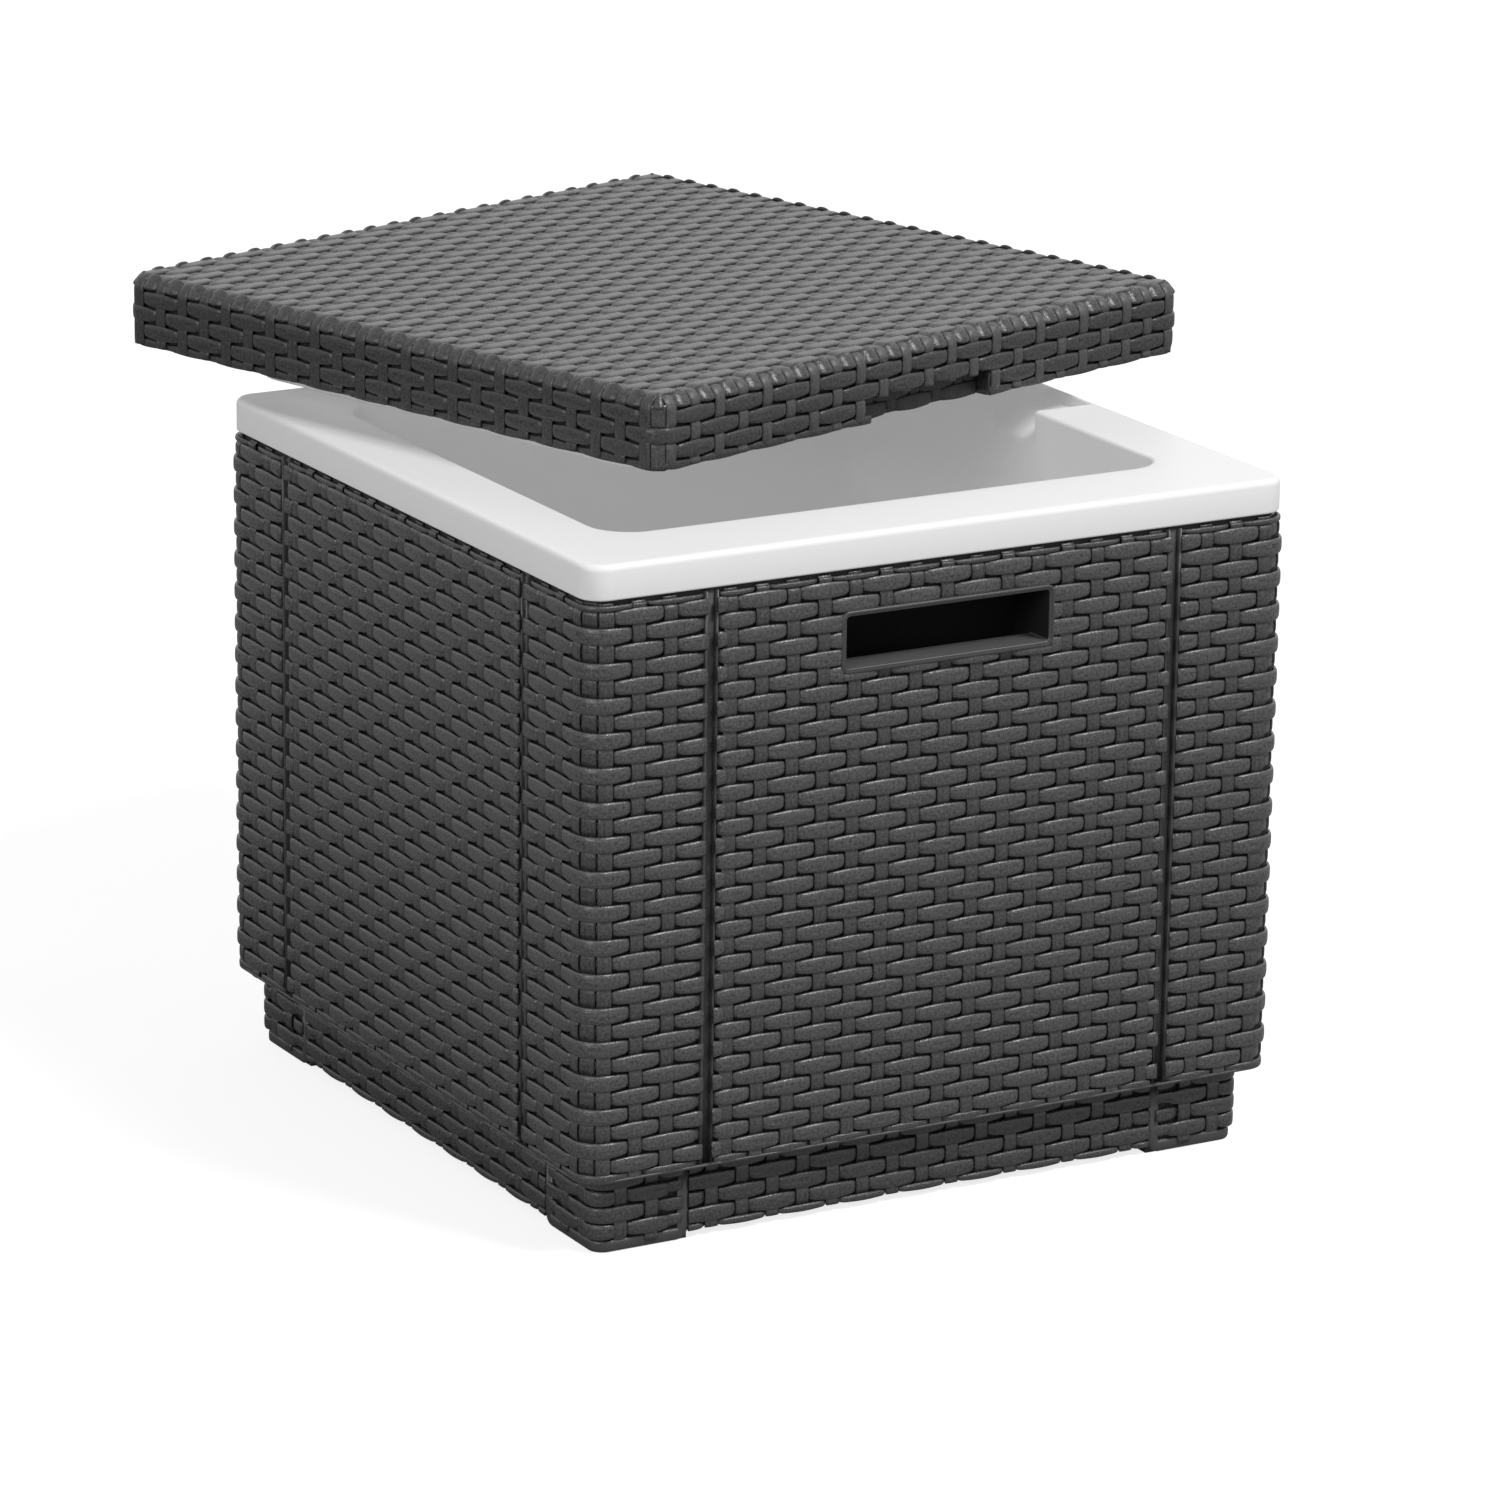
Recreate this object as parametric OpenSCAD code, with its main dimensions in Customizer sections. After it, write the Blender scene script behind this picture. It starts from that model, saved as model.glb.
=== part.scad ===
// Insulated cool box that doubles as a side table. A white tub sits in a square box of woven-look
// panels, and a lift-off lid is the table top. The origin is the centre of the box on the floor,
// the front faces -Y, and the lid lies on the rim, turned and pushed back, on its own plug.

/* [Box] */
// Width of the box, left to right
body_w = 420; // [380:1:460]
// Depth of the box, front to back
body_d = 420; // [380:1:460]
// Height of the walls' lower edge above the floor
plinth_h = 43.5; // [36:0.5:55]
// Height of the walls between that edge and the white rim
wall_h = 310; // [280:1:340]
// Radius of the box's upright corners
corner_r = 13; // [11:0.5:20]

/* [Walls] */
// Full thickness of a wall
wall_t = 8; // [7.5:0.5:9]
// Thickness of the wall's outer layer
face_t = 4.5; // [4.2:0.1:5]
// Width of a corner post on each face
post_w = 68.5; // [50:0.5:90]
// Width of the upright groove between a post and a panel
groove_w = 5; // [3:0.5:8]
// How far a panel's tongue reaches behind the post
lap_w = 8; // [5:0.5:12]
// Height of the walls' inner layer inside the rim
tongue_h = 15.5; // [14:0.5:15.5]
// Radius of a post's screw boss
boss_r = 7; // [6:0.5:8]
// Height of a post's screw boss
boss_h = 30; // [20:1:50]
// Distance of the screws from the box's outer faces
screw_in = 28; // [26:0.5:32]

/* [Plinth] */
// How far the feet stand back from the walls
foot_in = 12; // [10:0.5:16]
// How far the skirts stand back from the walls
skirt_in = 13.5; // [11:0.5:18]
// Length of a foot along each side
foot_l = 56; // [44:1:70]
// Radius of a foot's outer corner
foot_r = 9; // [6:0.5:12]
// Thickness of a foot's wall
foot_t = 5; // [4:0.5:7]
// Thickness of a foot's sole
sole_t = 4; // [3.5:0.5:6]
// Height of the skirts' lower edge above the floor
skirt_up = 4; // [2:0.5:8]
// Thickness of a skirt
skirt_t = 4; // [3:0.5:5]
// Thickness of the base plate
plate_t = 3.5; // [3:0.5:5]
// Thickness of a stiffening rib under the base plate
rib_t = 3; // [2:0.5:5]
// Depth of a stiffening rib
rib_h = 28; // [15:1:34]

/* [Tub] */
// Height of the white rim's band
band_h = 18.5; // [18:0.5:24]
// Thickness of the band and of the rim's top
rim_t = 3; // [2.5:0.1:3.2]
// Radius of the rim's outer top edge
rim_edge_r = 3.5; // [2:0.5:5]
// Width of the rim at the left and right
rim_side = 41.5; // [38:0.5:50]
// Width of the rim at the front and rear
rim_front = 55; // [52:0.5:62]
// Radius of the tub's inner corners
tub_r = 22; // [12:1:30]
// Thickness of the tub's walls and floor
tub_t = 3; // [2:0.5:4]
// Thickness of the insulation under the tub
floor_foam_t = 35; // [25:1:45]
// Width of the finger recess in the right side of the rim
recess_w = 42; // [30:1:60]
// Depth of that recess
recess_h = 6; // [5.5:0.5:7]
// Thickness of the lip left outside it
recess_lip = 4; // [3.5:0.5:5]
// Width of the slope where it runs down into the tub
recess_slope = 12.5; // [8:0.5:14]

/* [Hand recess] */
// Width of the bezel
bezel_w = 128; // [110:1:150]
// Height of the bezel
bezel_h = 33.5; // [30:0.5:40]
// Distance from the bezel to the walls' upper edge
bezel_down = 21.5; // [18:0.5:40]
// Width of the bezel's frame
bezel_frame = 3; // [2.5:0.1:4]
// How far the bezel stands out from the wall
bezel_out = 1.5; // [1:0.1:2.5]
// Thickness of the cup's walls
cup_t = 1.8; // [1.5:0.1:2.2]
// Depth of the cup behind the wall's outer face
cup_deep = 34; // [28:1:36]
// Depth of the sill at the cup's mouth
sill_deep = 19; // [12:1:22]
// How far the cup's floor drops behind the sill
sill_drop = 5; // [3:0.5:7]

/* [Lid] */
// How far the lid's sides stand inside the walls
lid_step = 2.5; // [0:0.5:10]
// Height of the lid's side
lid_h = 40; // [38:1:50]
// Radius of the lid's upright corners
lid_r = 12; // [10:0.5:16]
// Radius of the lid's top edges
lid_edge_r = 8; // [5:0.5:9]
// Thickness of the lid's top and sides
lid_t = 4; // [3:0.5:5]
// Width of the finger notch in the front of the lid
notch_w = 100; // [80:1:120]
// Height of the finger notch
notch_h = 14.5; // [10:0.5:16]
// Depth of the finger notch
notch_d = 12; // [8:0.5:12]
// How far the plug hangs below the lid
plug_drop = 16; // [12:0.5:20]
// Clearance between the plug and the tub when the lid is shut
plug_gap = 1.5; // [0.5:0.1:3]
// Thickness of the white plate and plug
liner_t = 3; // [2:0.5:3.5]
// How far the plate stands inside the lid's lower edge
liner_in = 2; // [1.8:0.1:3]
// Distance from the lid's middle to the outer screws of a side
lid_screw_at = 110; // [90:1:130]

/* [Lid as it lies] */
// Sideways place of the lid's middle
lid_x = 22; // [0:1:30]
// Place of the lid's middle towards the rear
lid_y = 146; // [120:1:150]
// Turn of the lid
lid_turn = 16.6; // [0:0.1:20]

/* [Fasteners] */
// Diameter of the base screws
screw_d = 4; // [3.5:0.1:5]
// Height of the base screws' heads
screw_head_h = 3; // [2:0.5:3.5]
// Length of the base screws' shanks
screw_l = 64; // [55:1:70]
// Diameter of the lid screws
lid_screw_d = 3; // [2.5:0.1:3.5]
// Height of the lid screws' heads
lid_head_h = 1.5; // [1:0.1:1.7]
// Length of the lid screws' shanks
lid_screw_l = 18; // [12:1:25]

/* [Hidden] */
$fn = 48;
// Clearance between pieces that sit side by side, and round a screw
fit = 0.3;
screw_fit = 0.05;
// Overshoot of a cut past the face that it opens
eps = 1;
foam_colour = [0.86, 0.85, 0.78];
dark_colour = [0.27, 0.27, 0.28];
white_colour = [0.93, 0.93, 0.92];
steel_colour = [0.6, 0.6, 0.62];

// Levels above the floor
plate_top = plinth_h + plate_t + fit;
plate_low = plate_top - plate_t;
wall_top = plinth_h + wall_h;
rim_top = wall_top + band_h;
rim_under = rim_top - rim_t;
tongue_top = wall_top + tongue_h;
tub_under = plate_top + floor_foam_t;
tub_floor = tub_under + tub_t;

// Half sizes in plan, seen from the middle of the box
half_w = body_w / 2;
half_d = body_d / 2;
tub_x = half_w - rim_side;
tub_y = half_d - rim_front;
foam_x = half_w - wall_t - fit;
foam_y = half_d - wall_t - fit;
foam_r = max(corner_r - wall_t - fit, 0.5);
screw_x = half_w - screw_in;
screw_y = half_d - screw_in;
screw_r = screw_d / 2;
screw_head_r = screw_d;

// Hand recess, with z at the levels of the box
bezel_top = wall_top - bezel_down;
bezel_low = bezel_top - bezel_h;
mouth_x = bezel_w / 2 - bezel_frame;
mouth_top = bezel_top - bezel_frame;
mouth_low = bezel_low + bezel_frame;
cup_x = mouth_x + cup_t;
cup_top = mouth_top + cup_t;
cup_low = mouth_low - sill_drop - cup_t;

// Finger recess in the rim
recess_out = half_w - recess_lip;
recess_floor = rim_top - recess_h;
recess_foot = recess_floor - recess_slope;
recess_half = recess_w / 2;

// Lid, in its own frame: its middle, at the level of its lower edge
lid_half_w = half_w - lid_step;
lid_half_d = half_d - lid_step;
lid_in_x = lid_half_w - lid_t;
lid_in_y = lid_half_d - lid_t;
lid_under = lid_h - lid_t;
liner_top = liner_in + liner_t;
plug_x = tub_x - plug_gap;
plug_y = tub_y - plug_gap;
plug_r = tub_r - plug_gap;
plug_floor = -plug_drop + liner_t;
lid_screw_r = lid_screw_d / 2;
lid_boss_r = lid_screw_d + 1.2;
lid_screw_x = (plug_x + lid_in_x) / 2;
lid_screw_y = (plug_y + lid_in_y) / 2;
lid_screws_at = [
  for (s = [-1, 1], a = [-1, 1]) [s * lid_screw_x, a * lid_screw_at],
  for (s = [-1, 1], a = [-1, 1]) [a * lid_screw_at, s * lid_screw_y]
];
corners = [[-1, -1], [1, -1], [-1, 1], [1, 1]];

// Rectangle with round corners, centred, given by its half sizes
module round_rect(x, y, r) {
  square([2 * x, 2 * (y - r)], center = true);
  square([2 * (x - r), 2 * y], center = true);
  for (c = corners) translate([c[0] * (x - r), c[1] * (y - r)]) circle(r);
}

module round_slab(x, y, r, low, high) {
  translate([0, 0, low]) linear_extrude(high - low) round_rect(x, y, r);
}

// Upright wall that follows the box's outline, from one depth behind its faces to another
module wall_ring(x, y, r, outer, inner, low, high) {
  difference() {
    round_slab(x - outer, y - outer, r - outer, low, high);
    round_slab(x - inner, y - inner, max(r - inner, 0.5), low - eps, high + eps);
  }
}

// Block from corner to corner
module block(a, b) {
  translate(a) cube([b[0] - a[0], b[1] - a[1], b[2] - a[2]]);
}

// Square column at a corner of a rectangle, used to keep only that corner of a ring
module corner_column(c, x, y, side, low, high) {
  translate([c[0] * (x - side / 2), c[1] * (y - side / 2), (low + high) / 2])
    cube([side, side, high - low], center = true);
}

// Slab whose outer top edges are rounded
module soft_top_slab(x, y, r, edge, high) {
  hull() for (c = corners)
    translate([c[0] * (x - r), c[1] * (y - r), 0])
      rotate_extrude($fn = 32) polygon([
        [0, 0], [r, 0],
        for (i = [0:5]) [r - edge + edge * cos(i * 18), high - edge + edge * sin(i * 18)],
        [0, high]
      ]);
}

module upright_hole(at, r, low, high) {
  translate([at[0], at[1], low]) cylinder(r = r, h = high - low);
}

// Base tray: a plate that the walls stand on, four skirts between the feet and two crossed ribs
module base_tray() {
  skirt_x = half_w - skirt_in;
  skirt_y = half_d - skirt_in;
  foot_x = half_w - foot_in;
  foot_y = half_d - foot_in;
  color(dark_colour) difference() {
    union() {
      round_slab(half_w - face_t - fit, half_d - face_t - fit, corner_r - face_t - fit,
                 plate_low, plate_top);
      difference() {
        wall_ring(skirt_x, skirt_y, foot_r, 0, skirt_t, skirt_up, plate_low);
        for (c = corners)
          corner_column(c, foot_x, foot_y, foot_l + fit, skirt_up - eps, plate_low);
      }
      block([-rib_t / 2, -skirt_y + skirt_t, plate_low - rib_h],
            [rib_t / 2, skirt_y - skirt_t, plate_low]);
      block([-skirt_x + skirt_t, -rib_t / 2, plate_low - rib_h],
            [skirt_x - skirt_t, rib_t / 2, plate_low]);
    }
    for (c = corners)
      upright_hole([c[0] * screw_x, c[1] * screw_y], screw_r + screw_fit,
                   plate_low - eps, plate_top + eps);
  }
}

// Corner foot: an angled wall on a sole, with a column for the screw
module foot(c) {
  foot_x = half_w - foot_in;
  foot_y = half_d - foot_in;
  at = [c[0] * screw_x, c[1] * screw_y];
  color(dark_colour) difference() {
    union() {
      intersection() {
        union() {
          wall_ring(foot_x, foot_y, foot_r, 0, foot_t, 0, plate_low);
          round_slab(foot_x, foot_y, foot_r, 0, sole_t);
        }
        corner_column(c, foot_x, foot_y, foot_l, 0, plate_low);
      }
      upright_hole(at, boss_r, 0, plate_low);
    }
    upright_hole(at, screw_head_r + fit, -eps, sole_t);
    upright_hole(at, screw_r + screw_fit, 0, plate_low + eps);
  }
}

// Corner post: an angled wall whose ends lap over the panels' tongues, with a boss for the screw
module corner_post(c) {
  at = [c[0] * screw_x, c[1] * screw_y];
  web = boss_r / 2;
  web_l = screw_in - face_t;
  color(dark_colour) difference() {
    union() {
      intersection() {
        wall_ring(half_w, half_d, corner_r, 0, face_t, plinth_h, wall_top - fit);
        corner_column(c, half_w, half_d, post_w, plinth_h, wall_top);
      }
      intersection() {
        wall_ring(half_w, half_d, corner_r, face_t, wall_t, plate_top, tongue_top);
        corner_column(c, half_w, half_d, post_w - lap_w - fit, plate_top, tongue_top);
      }
      upright_hole(at, boss_r, plate_top, plate_top + boss_h);
      translate([c[0] * (half_w - web_l / 2 - face_t), at[1], plate_top + boss_h / 2])
        cube([web_l, web, boss_h], center = true);
      translate([at[0], c[1] * (half_d - web_l / 2 - face_t), plate_top + boss_h / 2])
        cube([web, web_l, boss_h], center = true);
    }
    upright_hole(at, screw_r + screw_fit, plate_top - eps, plate_top + boss_h - web);
  }
}

// Wall panel along X with its outer face at y = -out: a face, a core behind it and two tongues
module panel(half_len, out) {
  face_x = half_len - post_w - groove_w;
  tongue_x = face_x + groove_w + lap_w;
  block([-face_x, -out, plinth_h], [face_x, -out + face_t, wall_top - fit]);
  block([-face_x, -out + face_t - eps, plate_top], [face_x, -out + wall_t, wall_top - fit]);
  block([-tongue_x, -out + face_t + fit, plate_top], [tongue_x, -out + wall_t, tongue_top]);
}

module cup_hole(out, gap) {
  block([-cup_x - gap, -out - eps, mouth_low - cup_t - gap],
        [cup_x + gap, -out + wall_t + eps, cup_top + gap]);
}

module panel_front() {
  color(dark_colour) difference() {
    panel(half_w, half_d);
    cup_hole(half_d, fit / 2);
  }
}

module panel_rear() {
  rotate([0, 0, 180]) panel_front();
}

module panel_left() {
  color(dark_colour) rotate([0, 0, -90]) panel(half_d, half_w);
}

// The right panel's tongue steps down under the rim's finger recess
module panel_right() {
  color(dark_colour) difference() {
    rotate([0, 0, 90]) panel(half_d, half_w);
    block([half_w - wall_t - eps, -recess_half - tub_t - fit, recess_floor - rim_t - fit],
          [half_w, recess_half + tub_t + fit, tongue_top + eps]);
  }
}

// Hand cup: a bezel on the wall and a cup behind it, with a sill at its mouth
module hand_cup_front() {
  front = -half_d;
  back = front + cup_deep;
  sill_back = front + sill_deep;
  color(dark_colour) difference() {
    union() {
      block([-bezel_w / 2, front - bezel_out, bezel_low], [bezel_w / 2, front, bezel_top]);
      block([-cup_x, front - eps / 2, mouth_low - cup_t], [cup_x, back + cup_t, cup_top]);
      block([-cup_x, sill_back, cup_low], [cup_x, back + cup_t, cup_top]);
    }
    block([-mouth_x, front - bezel_out - eps, mouth_low], [mouth_x, back, mouth_top]);
    block([-mouth_x, sill_back + cup_t, mouth_low - sill_drop], [mouth_x, back, mouth_top]);
  }
}

module hand_cup_rear() {
  rotate([0, 0, 180]) hand_cup_front();
}

module foam_floor() {
  color(foam_colour)
    block([-tub_x - tub_t, -tub_y - tub_t, plate_top], [tub_x + tub_t, tub_y + tub_t, tub_under]);
}

// Insulation along the front, with room for the hand cup and for the posts' bosses
module foam_front() {
  boss_room = screw_in + boss_r + fit;
  color(foam_colour) difference() {
    intersection() {
      round_slab(foam_x, foam_y, foam_r, plate_top, rim_under - fit);
      block([-foam_x, -foam_y, plate_top], [foam_x, -tub_y - tub_t - fit, rim_under]);
    }
    for (s = [-1, 1])
      translate([s * (half_w - boss_room / 2), -half_d + boss_room / 2, plate_top + boss_h / 2])
        cube([boss_room + fit, boss_room + fit, boss_h + 2 * fit], center = true);
    block([-cup_x - fit, -half_d, cup_low - fit],
          [cup_x + fit, -half_d + cup_deep + cup_t + fit, cup_top + fit]);
  }
}

module foam_rear() {
  rotate([0, 0, 180]) foam_front();
}

module foam_side() {
  block([tub_x + tub_t + fit, -tub_y - tub_t, plate_top],
        [foam_x, tub_y + tub_t, rim_under - fit]);
}

module foam_left() {
  color(foam_colour) rotate([0, 0, 180]) foam_side();
}

module foam_right() {
  color(foam_colour) difference() {
    foam_side();
    block([tub_x, -recess_half - tub_t - fit, recess_foot - tub_t - fit],
          [half_w, recess_half + tub_t + fit, rim_under]);
  }
}

// Outline of the finger recess across the rim, in X and Z, grown downwards by a wall
module recess_profile(wall, out) {
  polygon([
    [tub_x - (wall > 0 ? 0 : eps), rim_top - (wall > 0 ? rim_t / 2 : -eps)],
    [out, rim_top - (wall > 0 ? rim_t / 2 : -eps)],
    [out, recess_floor - wall],
    [tub_x + recess_slope, recess_floor - wall],
    [tub_x - (wall > 0 ? 0 : eps), recess_foot - wall - (wall > 0 ? 0 : eps)]
  ]);
}

module along_recess(half) {
  translate([0, half, 0]) rotate([90, 0, 0]) linear_extrude(2 * half) children();
}

// White tub: walls, floor, a rim over the walls and a band that hangs outside them
module tub() {
  color(white_colour) difference() {
    union() {
      difference() {
        translate([0, 0, wall_top]) soft_top_slab(half_w, half_d, corner_r, rim_edge_r, band_h);
        round_slab(half_w - rim_t, half_d - rim_t, corner_r - rim_t, wall_top - eps, rim_under);
      }
      round_slab(tub_x + tub_t, tub_y + tub_t, tub_r + tub_t, tub_under, rim_under + rim_t / 2);
      along_recess(recess_half + tub_t) recess_profile(tub_t, half_w - rim_t / 2);
    }
    round_slab(tub_x, tub_y, tub_r, tub_floor, rim_top + eps);
    along_recess(recess_half) recess_profile(0, recess_out);
  }
}

module screw(at, low, head_r, head_h, r, length) {
  upright_hole(at, head_r, low, low + head_h);
  upright_hole(at, r, low + head_h - fit, low + head_h + length);
}

// Four long screws, each through a foot and the base plate into a corner post
module base_screws() {
  color(steel_colour) for (c = corners)
    screw([c[0] * screw_x, c[1] * screw_y], sole_t - screw_head_h, screw_head_r, screw_head_h,
          screw_r, screw_l);
}

// Puts a piece of the lid where the lid lies, its plug on the rim
module lid_place() {
  translate([lid_x, lid_y, rim_top + fit + plug_drop]) rotate([0, 0, lid_turn]) children();
}

// Lid shell: a tray upside down, with a notch for the fingers and bosses for the screws
module lid_shell() {
  notch_x = notch_w / 2;
  color(dark_colour) lid_place() difference() {
    union() {
      difference() {
        soft_top_slab(lid_half_w, lid_half_d, lid_r, lid_edge_r, lid_h);
        round_slab(lid_in_x, lid_in_y, lid_r - lid_t, -eps, lid_under);
      }
      block([-notch_x - lid_t, -lid_half_d + lid_t - eps, 0],
            [notch_x + lid_t, -lid_half_d + notch_d + lid_t, notch_h + lid_t]);
      for (p = lid_screws_at) upright_hole(p, lid_boss_r, liner_top, lid_under + eps);
    }
    block([-notch_x, -lid_half_d - eps, -eps], [notch_x, -lid_half_d + notch_d, notch_h]);
    for (p = lid_screws_at)
      upright_hole(p, lid_screw_r + screw_fit, liner_top - eps, liner_in + lid_screw_l + eps);
  }
}

// Room that the notch takes inside the lid
module notch_room() {
  block([-notch_w / 2 - lid_t - fit, -lid_half_d, -eps],
        [notch_w / 2 + lid_t + fit, -lid_half_d + notch_d + lid_t + fit, notch_h + lid_t + fit]);
}

// Insulation in the lid and in its plug
module lid_foam() {
  color(foam_colour) lid_place() difference() {
    union() {
      round_slab(lid_in_x - fit, lid_in_y - fit, lid_r - lid_t - fit, liner_top, lid_under);
      round_slab(plug_x - liner_t - fit, plug_y - liner_t - fit, plug_r - liner_t - fit,
                 plug_floor, liner_top + eps);
    }
    notch_room();
    for (p = lid_screws_at) upright_hole(p, lid_boss_r + fit, liner_top - eps, lid_h);
  }
}

// White plate that closes the lid from below, with the hollow plug that enters the tub
module lid_liner() {
  color(white_colour) lid_place() difference() {
    union() {
      round_slab(lid_in_x - fit, lid_in_y - fit, lid_r - lid_t - fit, liner_in, liner_top);
      round_slab(plug_x, plug_y, plug_r, -plug_drop, liner_top);
    }
    round_slab(plug_x - liner_t, plug_y - liner_t, plug_r - liner_t, plug_floor, liner_top + eps);
    notch_room();
    for (p = lid_screws_at)
      upright_hole(p, lid_screw_r + screw_fit, liner_in - eps, liner_top + eps);
  }
}

// Eight screws that hold the white plate to the lid shell
module lid_screws() {
  color(steel_colour) lid_place() for (p = lid_screws_at)
    screw(p, liner_in - lid_head_h, lid_screw_d, lid_head_h, lid_screw_r, lid_screw_l);
}

base_tray();
foot([-1, -1]);  // foot_front_left
foot([1, -1]);  // foot_front_right
foot([-1, 1]);  // foot_rear_left
foot([1, 1]);  // foot_rear_right
corner_post([-1, -1]);  // corner_post_front_left
corner_post([1, -1]);  // corner_post_front_right
corner_post([-1, 1]);  // corner_post_rear_left
corner_post([1, 1]);  // corner_post_rear_right
panel_front();
panel_rear();
panel_left();
panel_right();
hand_cup_front();
hand_cup_rear();
foam_floor();
foam_front();
foam_rear();
foam_left();
foam_right();
tub();
base_screws();
lid_shell();
lid_foam();
lid_liner();
lid_screws();
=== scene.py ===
"""A cool box that is also a side table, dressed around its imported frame.

The walls, feet and lid are woven: every flat strand is its own closed sweep that dives under the
strands that cross it. The white tub, the lid's plug and the hand cups are stacks of round-cornered
loops. Lengths are in metres, the front faces -Y and the floor is z = 0.
"""
import math

import bmesh
import bpy
import numpy as np
from mathutils import Matrix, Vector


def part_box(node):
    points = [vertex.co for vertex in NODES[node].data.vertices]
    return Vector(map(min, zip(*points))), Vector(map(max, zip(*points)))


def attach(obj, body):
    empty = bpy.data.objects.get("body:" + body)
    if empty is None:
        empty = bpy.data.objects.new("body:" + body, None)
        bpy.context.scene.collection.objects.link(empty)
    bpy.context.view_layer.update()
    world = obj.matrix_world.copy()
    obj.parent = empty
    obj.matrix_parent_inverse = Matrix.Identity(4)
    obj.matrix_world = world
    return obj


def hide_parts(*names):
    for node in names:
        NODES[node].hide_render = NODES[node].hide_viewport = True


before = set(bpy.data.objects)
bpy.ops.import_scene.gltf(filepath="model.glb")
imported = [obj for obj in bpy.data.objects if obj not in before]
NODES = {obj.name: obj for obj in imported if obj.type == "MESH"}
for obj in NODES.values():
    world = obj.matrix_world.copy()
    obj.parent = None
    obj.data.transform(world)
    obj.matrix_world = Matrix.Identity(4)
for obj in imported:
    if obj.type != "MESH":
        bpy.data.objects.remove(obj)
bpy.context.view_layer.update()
MM = 0.001

# Sizes that the frame gives
TUB_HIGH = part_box("tub")[1]
POST_LOW, POST_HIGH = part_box("corner_post_front_left")
FOOT_LOW, FOOT_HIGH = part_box("foot_front_left")
CUP_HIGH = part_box("hand_cup_front")[1]
LID_LOW, LID_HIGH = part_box("lid_shell")
PLUG_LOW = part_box("lid_liner")[0]
SKIRT_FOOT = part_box("base_tray")[0].z
HALF = TUB_HIGH.x
RIM_TOP = TUB_HIGH.z
POST_W = POST_HIGH.x - POST_LOW.x
WALL_LOW = POST_LOW.z
FOOT_HALF = -FOOT_LOW.x
FOOT_END = -FOOT_HIGH.x
FOOT_TOP = FOOT_HIGH.z
LID_CENTRE = (LID_LOW + LID_HIGH) / 2
LID_BASE = np.array([LID_CENTRE.x, LID_CENTRE.y, LID_LOW.z])
LID_H = LID_HIGH.z - LID_LOW.z

# Sizes of the frame that its boxes don't give
BAND_H = 18.5 * MM
CORNER_R = 13 * MM
GROOVE_W = 5 * MM
SKIRT_IN = 13.5 * MM
FOOT_R = 9 * MM
LID_HALF = 207.5 * MM
LID_R = 12 * MM
LID_EDGE_R = 8 * MM
LID_TURN = math.radians(16.6)
NOTCH_HALF = 50 * MM
NOTCH_H = 14.5 * MM
NOTCH_D = 12 * MM
TUB_WALL = 3 * MM
WALL_TOP = RIM_TOP - BAND_H
PANEL_HALF = HALF - POST_W - GROOVE_W

# The weave: flat strands, 23 upright stakes a side and 34 level rows. A row of another width has it as
# a share of ROW_W
STAKES = 23
ROWS = 34
STAKE_PITCH = 2 * HALF / STAKES
ROW_PITCH = (WALL_TOP - WALL_LOW) / ROWS
LID_PITCH = 17.95 * MM
ROW_W = 8.8 * MM
ROW_T = 2.6 * MM
ROW_IN = 1.8 * MM
ROW_SWING = 2.5 * MM
STAKE_W = 7.9 * MM
STAKE_T = 2.3 * MM
STAKE_IN = 1.4 * MM
STAKE_SWING = 0.9 * MM
CORE_IN = 3.4 * MM
ROW_DIVE = (0, 0.2, 0.38, 0.52, 0.62, 0.69, 0.74, 0.78, 0.82, 0.87, 0.93)
STAKE_DIVE = (0, 0.25, 0.42, 0.58, 0.75)
LEVEL_CUT = (0, 0.25, 0.5, 0.75)
STRAND_ROUND = np.radians([0, 22, 48, 74, 90, 106, 132, 158, 180, 235, 305])
STRAND_SQUARE = 3.0
STRIP_SQUARE = 3.4
UP = np.array([0, 0, 1])
WEAVE = "woven_dark_plastic"


# Meshes

def add_object(name, data):
    made = bpy.data.objects.new(name, data)
    bpy.context.scene.collection.objects.link(made)
    return made


def adopt(name, mesh, body, slot, node, materials, sharp):
    """Puts a finished mesh on its body, in place of its node; its slot is not used. It is shaded smooth,
    but for the edges over an angle."""
    mesh.polygons.foreach_set("use_smooth", np.ones(len(mesh.polygons), bool))
    if sharp is not None:
        mesh.set_sharp_from_angle(angle=math.radians(sharp))
    piece = add_object(name, mesh)
    for material in materials:
        mesh.materials.append(material)
    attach(piece, body)
    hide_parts(node)
    return piece


def new_piece(name, co, loops, sizes, body, slot, node, materials, uv=None, sharp=None):
    """One mesh from whole arrays: points, the faces' corners in a row, and how many each face has."""
    mesh = bpy.data.meshes.new(name)
    mesh.vertices.add(len(co))
    mesh.vertices.foreach_set("co", np.ascontiguousarray(co, np.float32).ravel())
    mesh.loops.add(len(loops))
    mesh.loops.foreach_set("vertex_index", np.ascontiguousarray(loops, np.int32))
    mesh.polygons.add(len(sizes))
    starts = np.concatenate([[0], np.cumsum(sizes)[:-1]]).astype(np.int32)
    mesh.polygons.foreach_set("loop_start", starts)
    if uv is not None:
        layer = mesh.uv_layers.new(name="strand")
        layer.data.foreach_set("uv", np.ascontiguousarray(uv[loops], np.float32).ravel())
    mesh.update(calc_edges=True)
    mesh.validate()
    return adopt(name, mesh, body, slot, node, materials, sharp)


def turned(co, angle):
    """Points turned about the upright axis through the origin."""
    c, s = math.cos(angle), math.sin(angle)
    return co @ np.array([[c, s, 0], [-s, c, 0], [0, 0, 1]])


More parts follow.
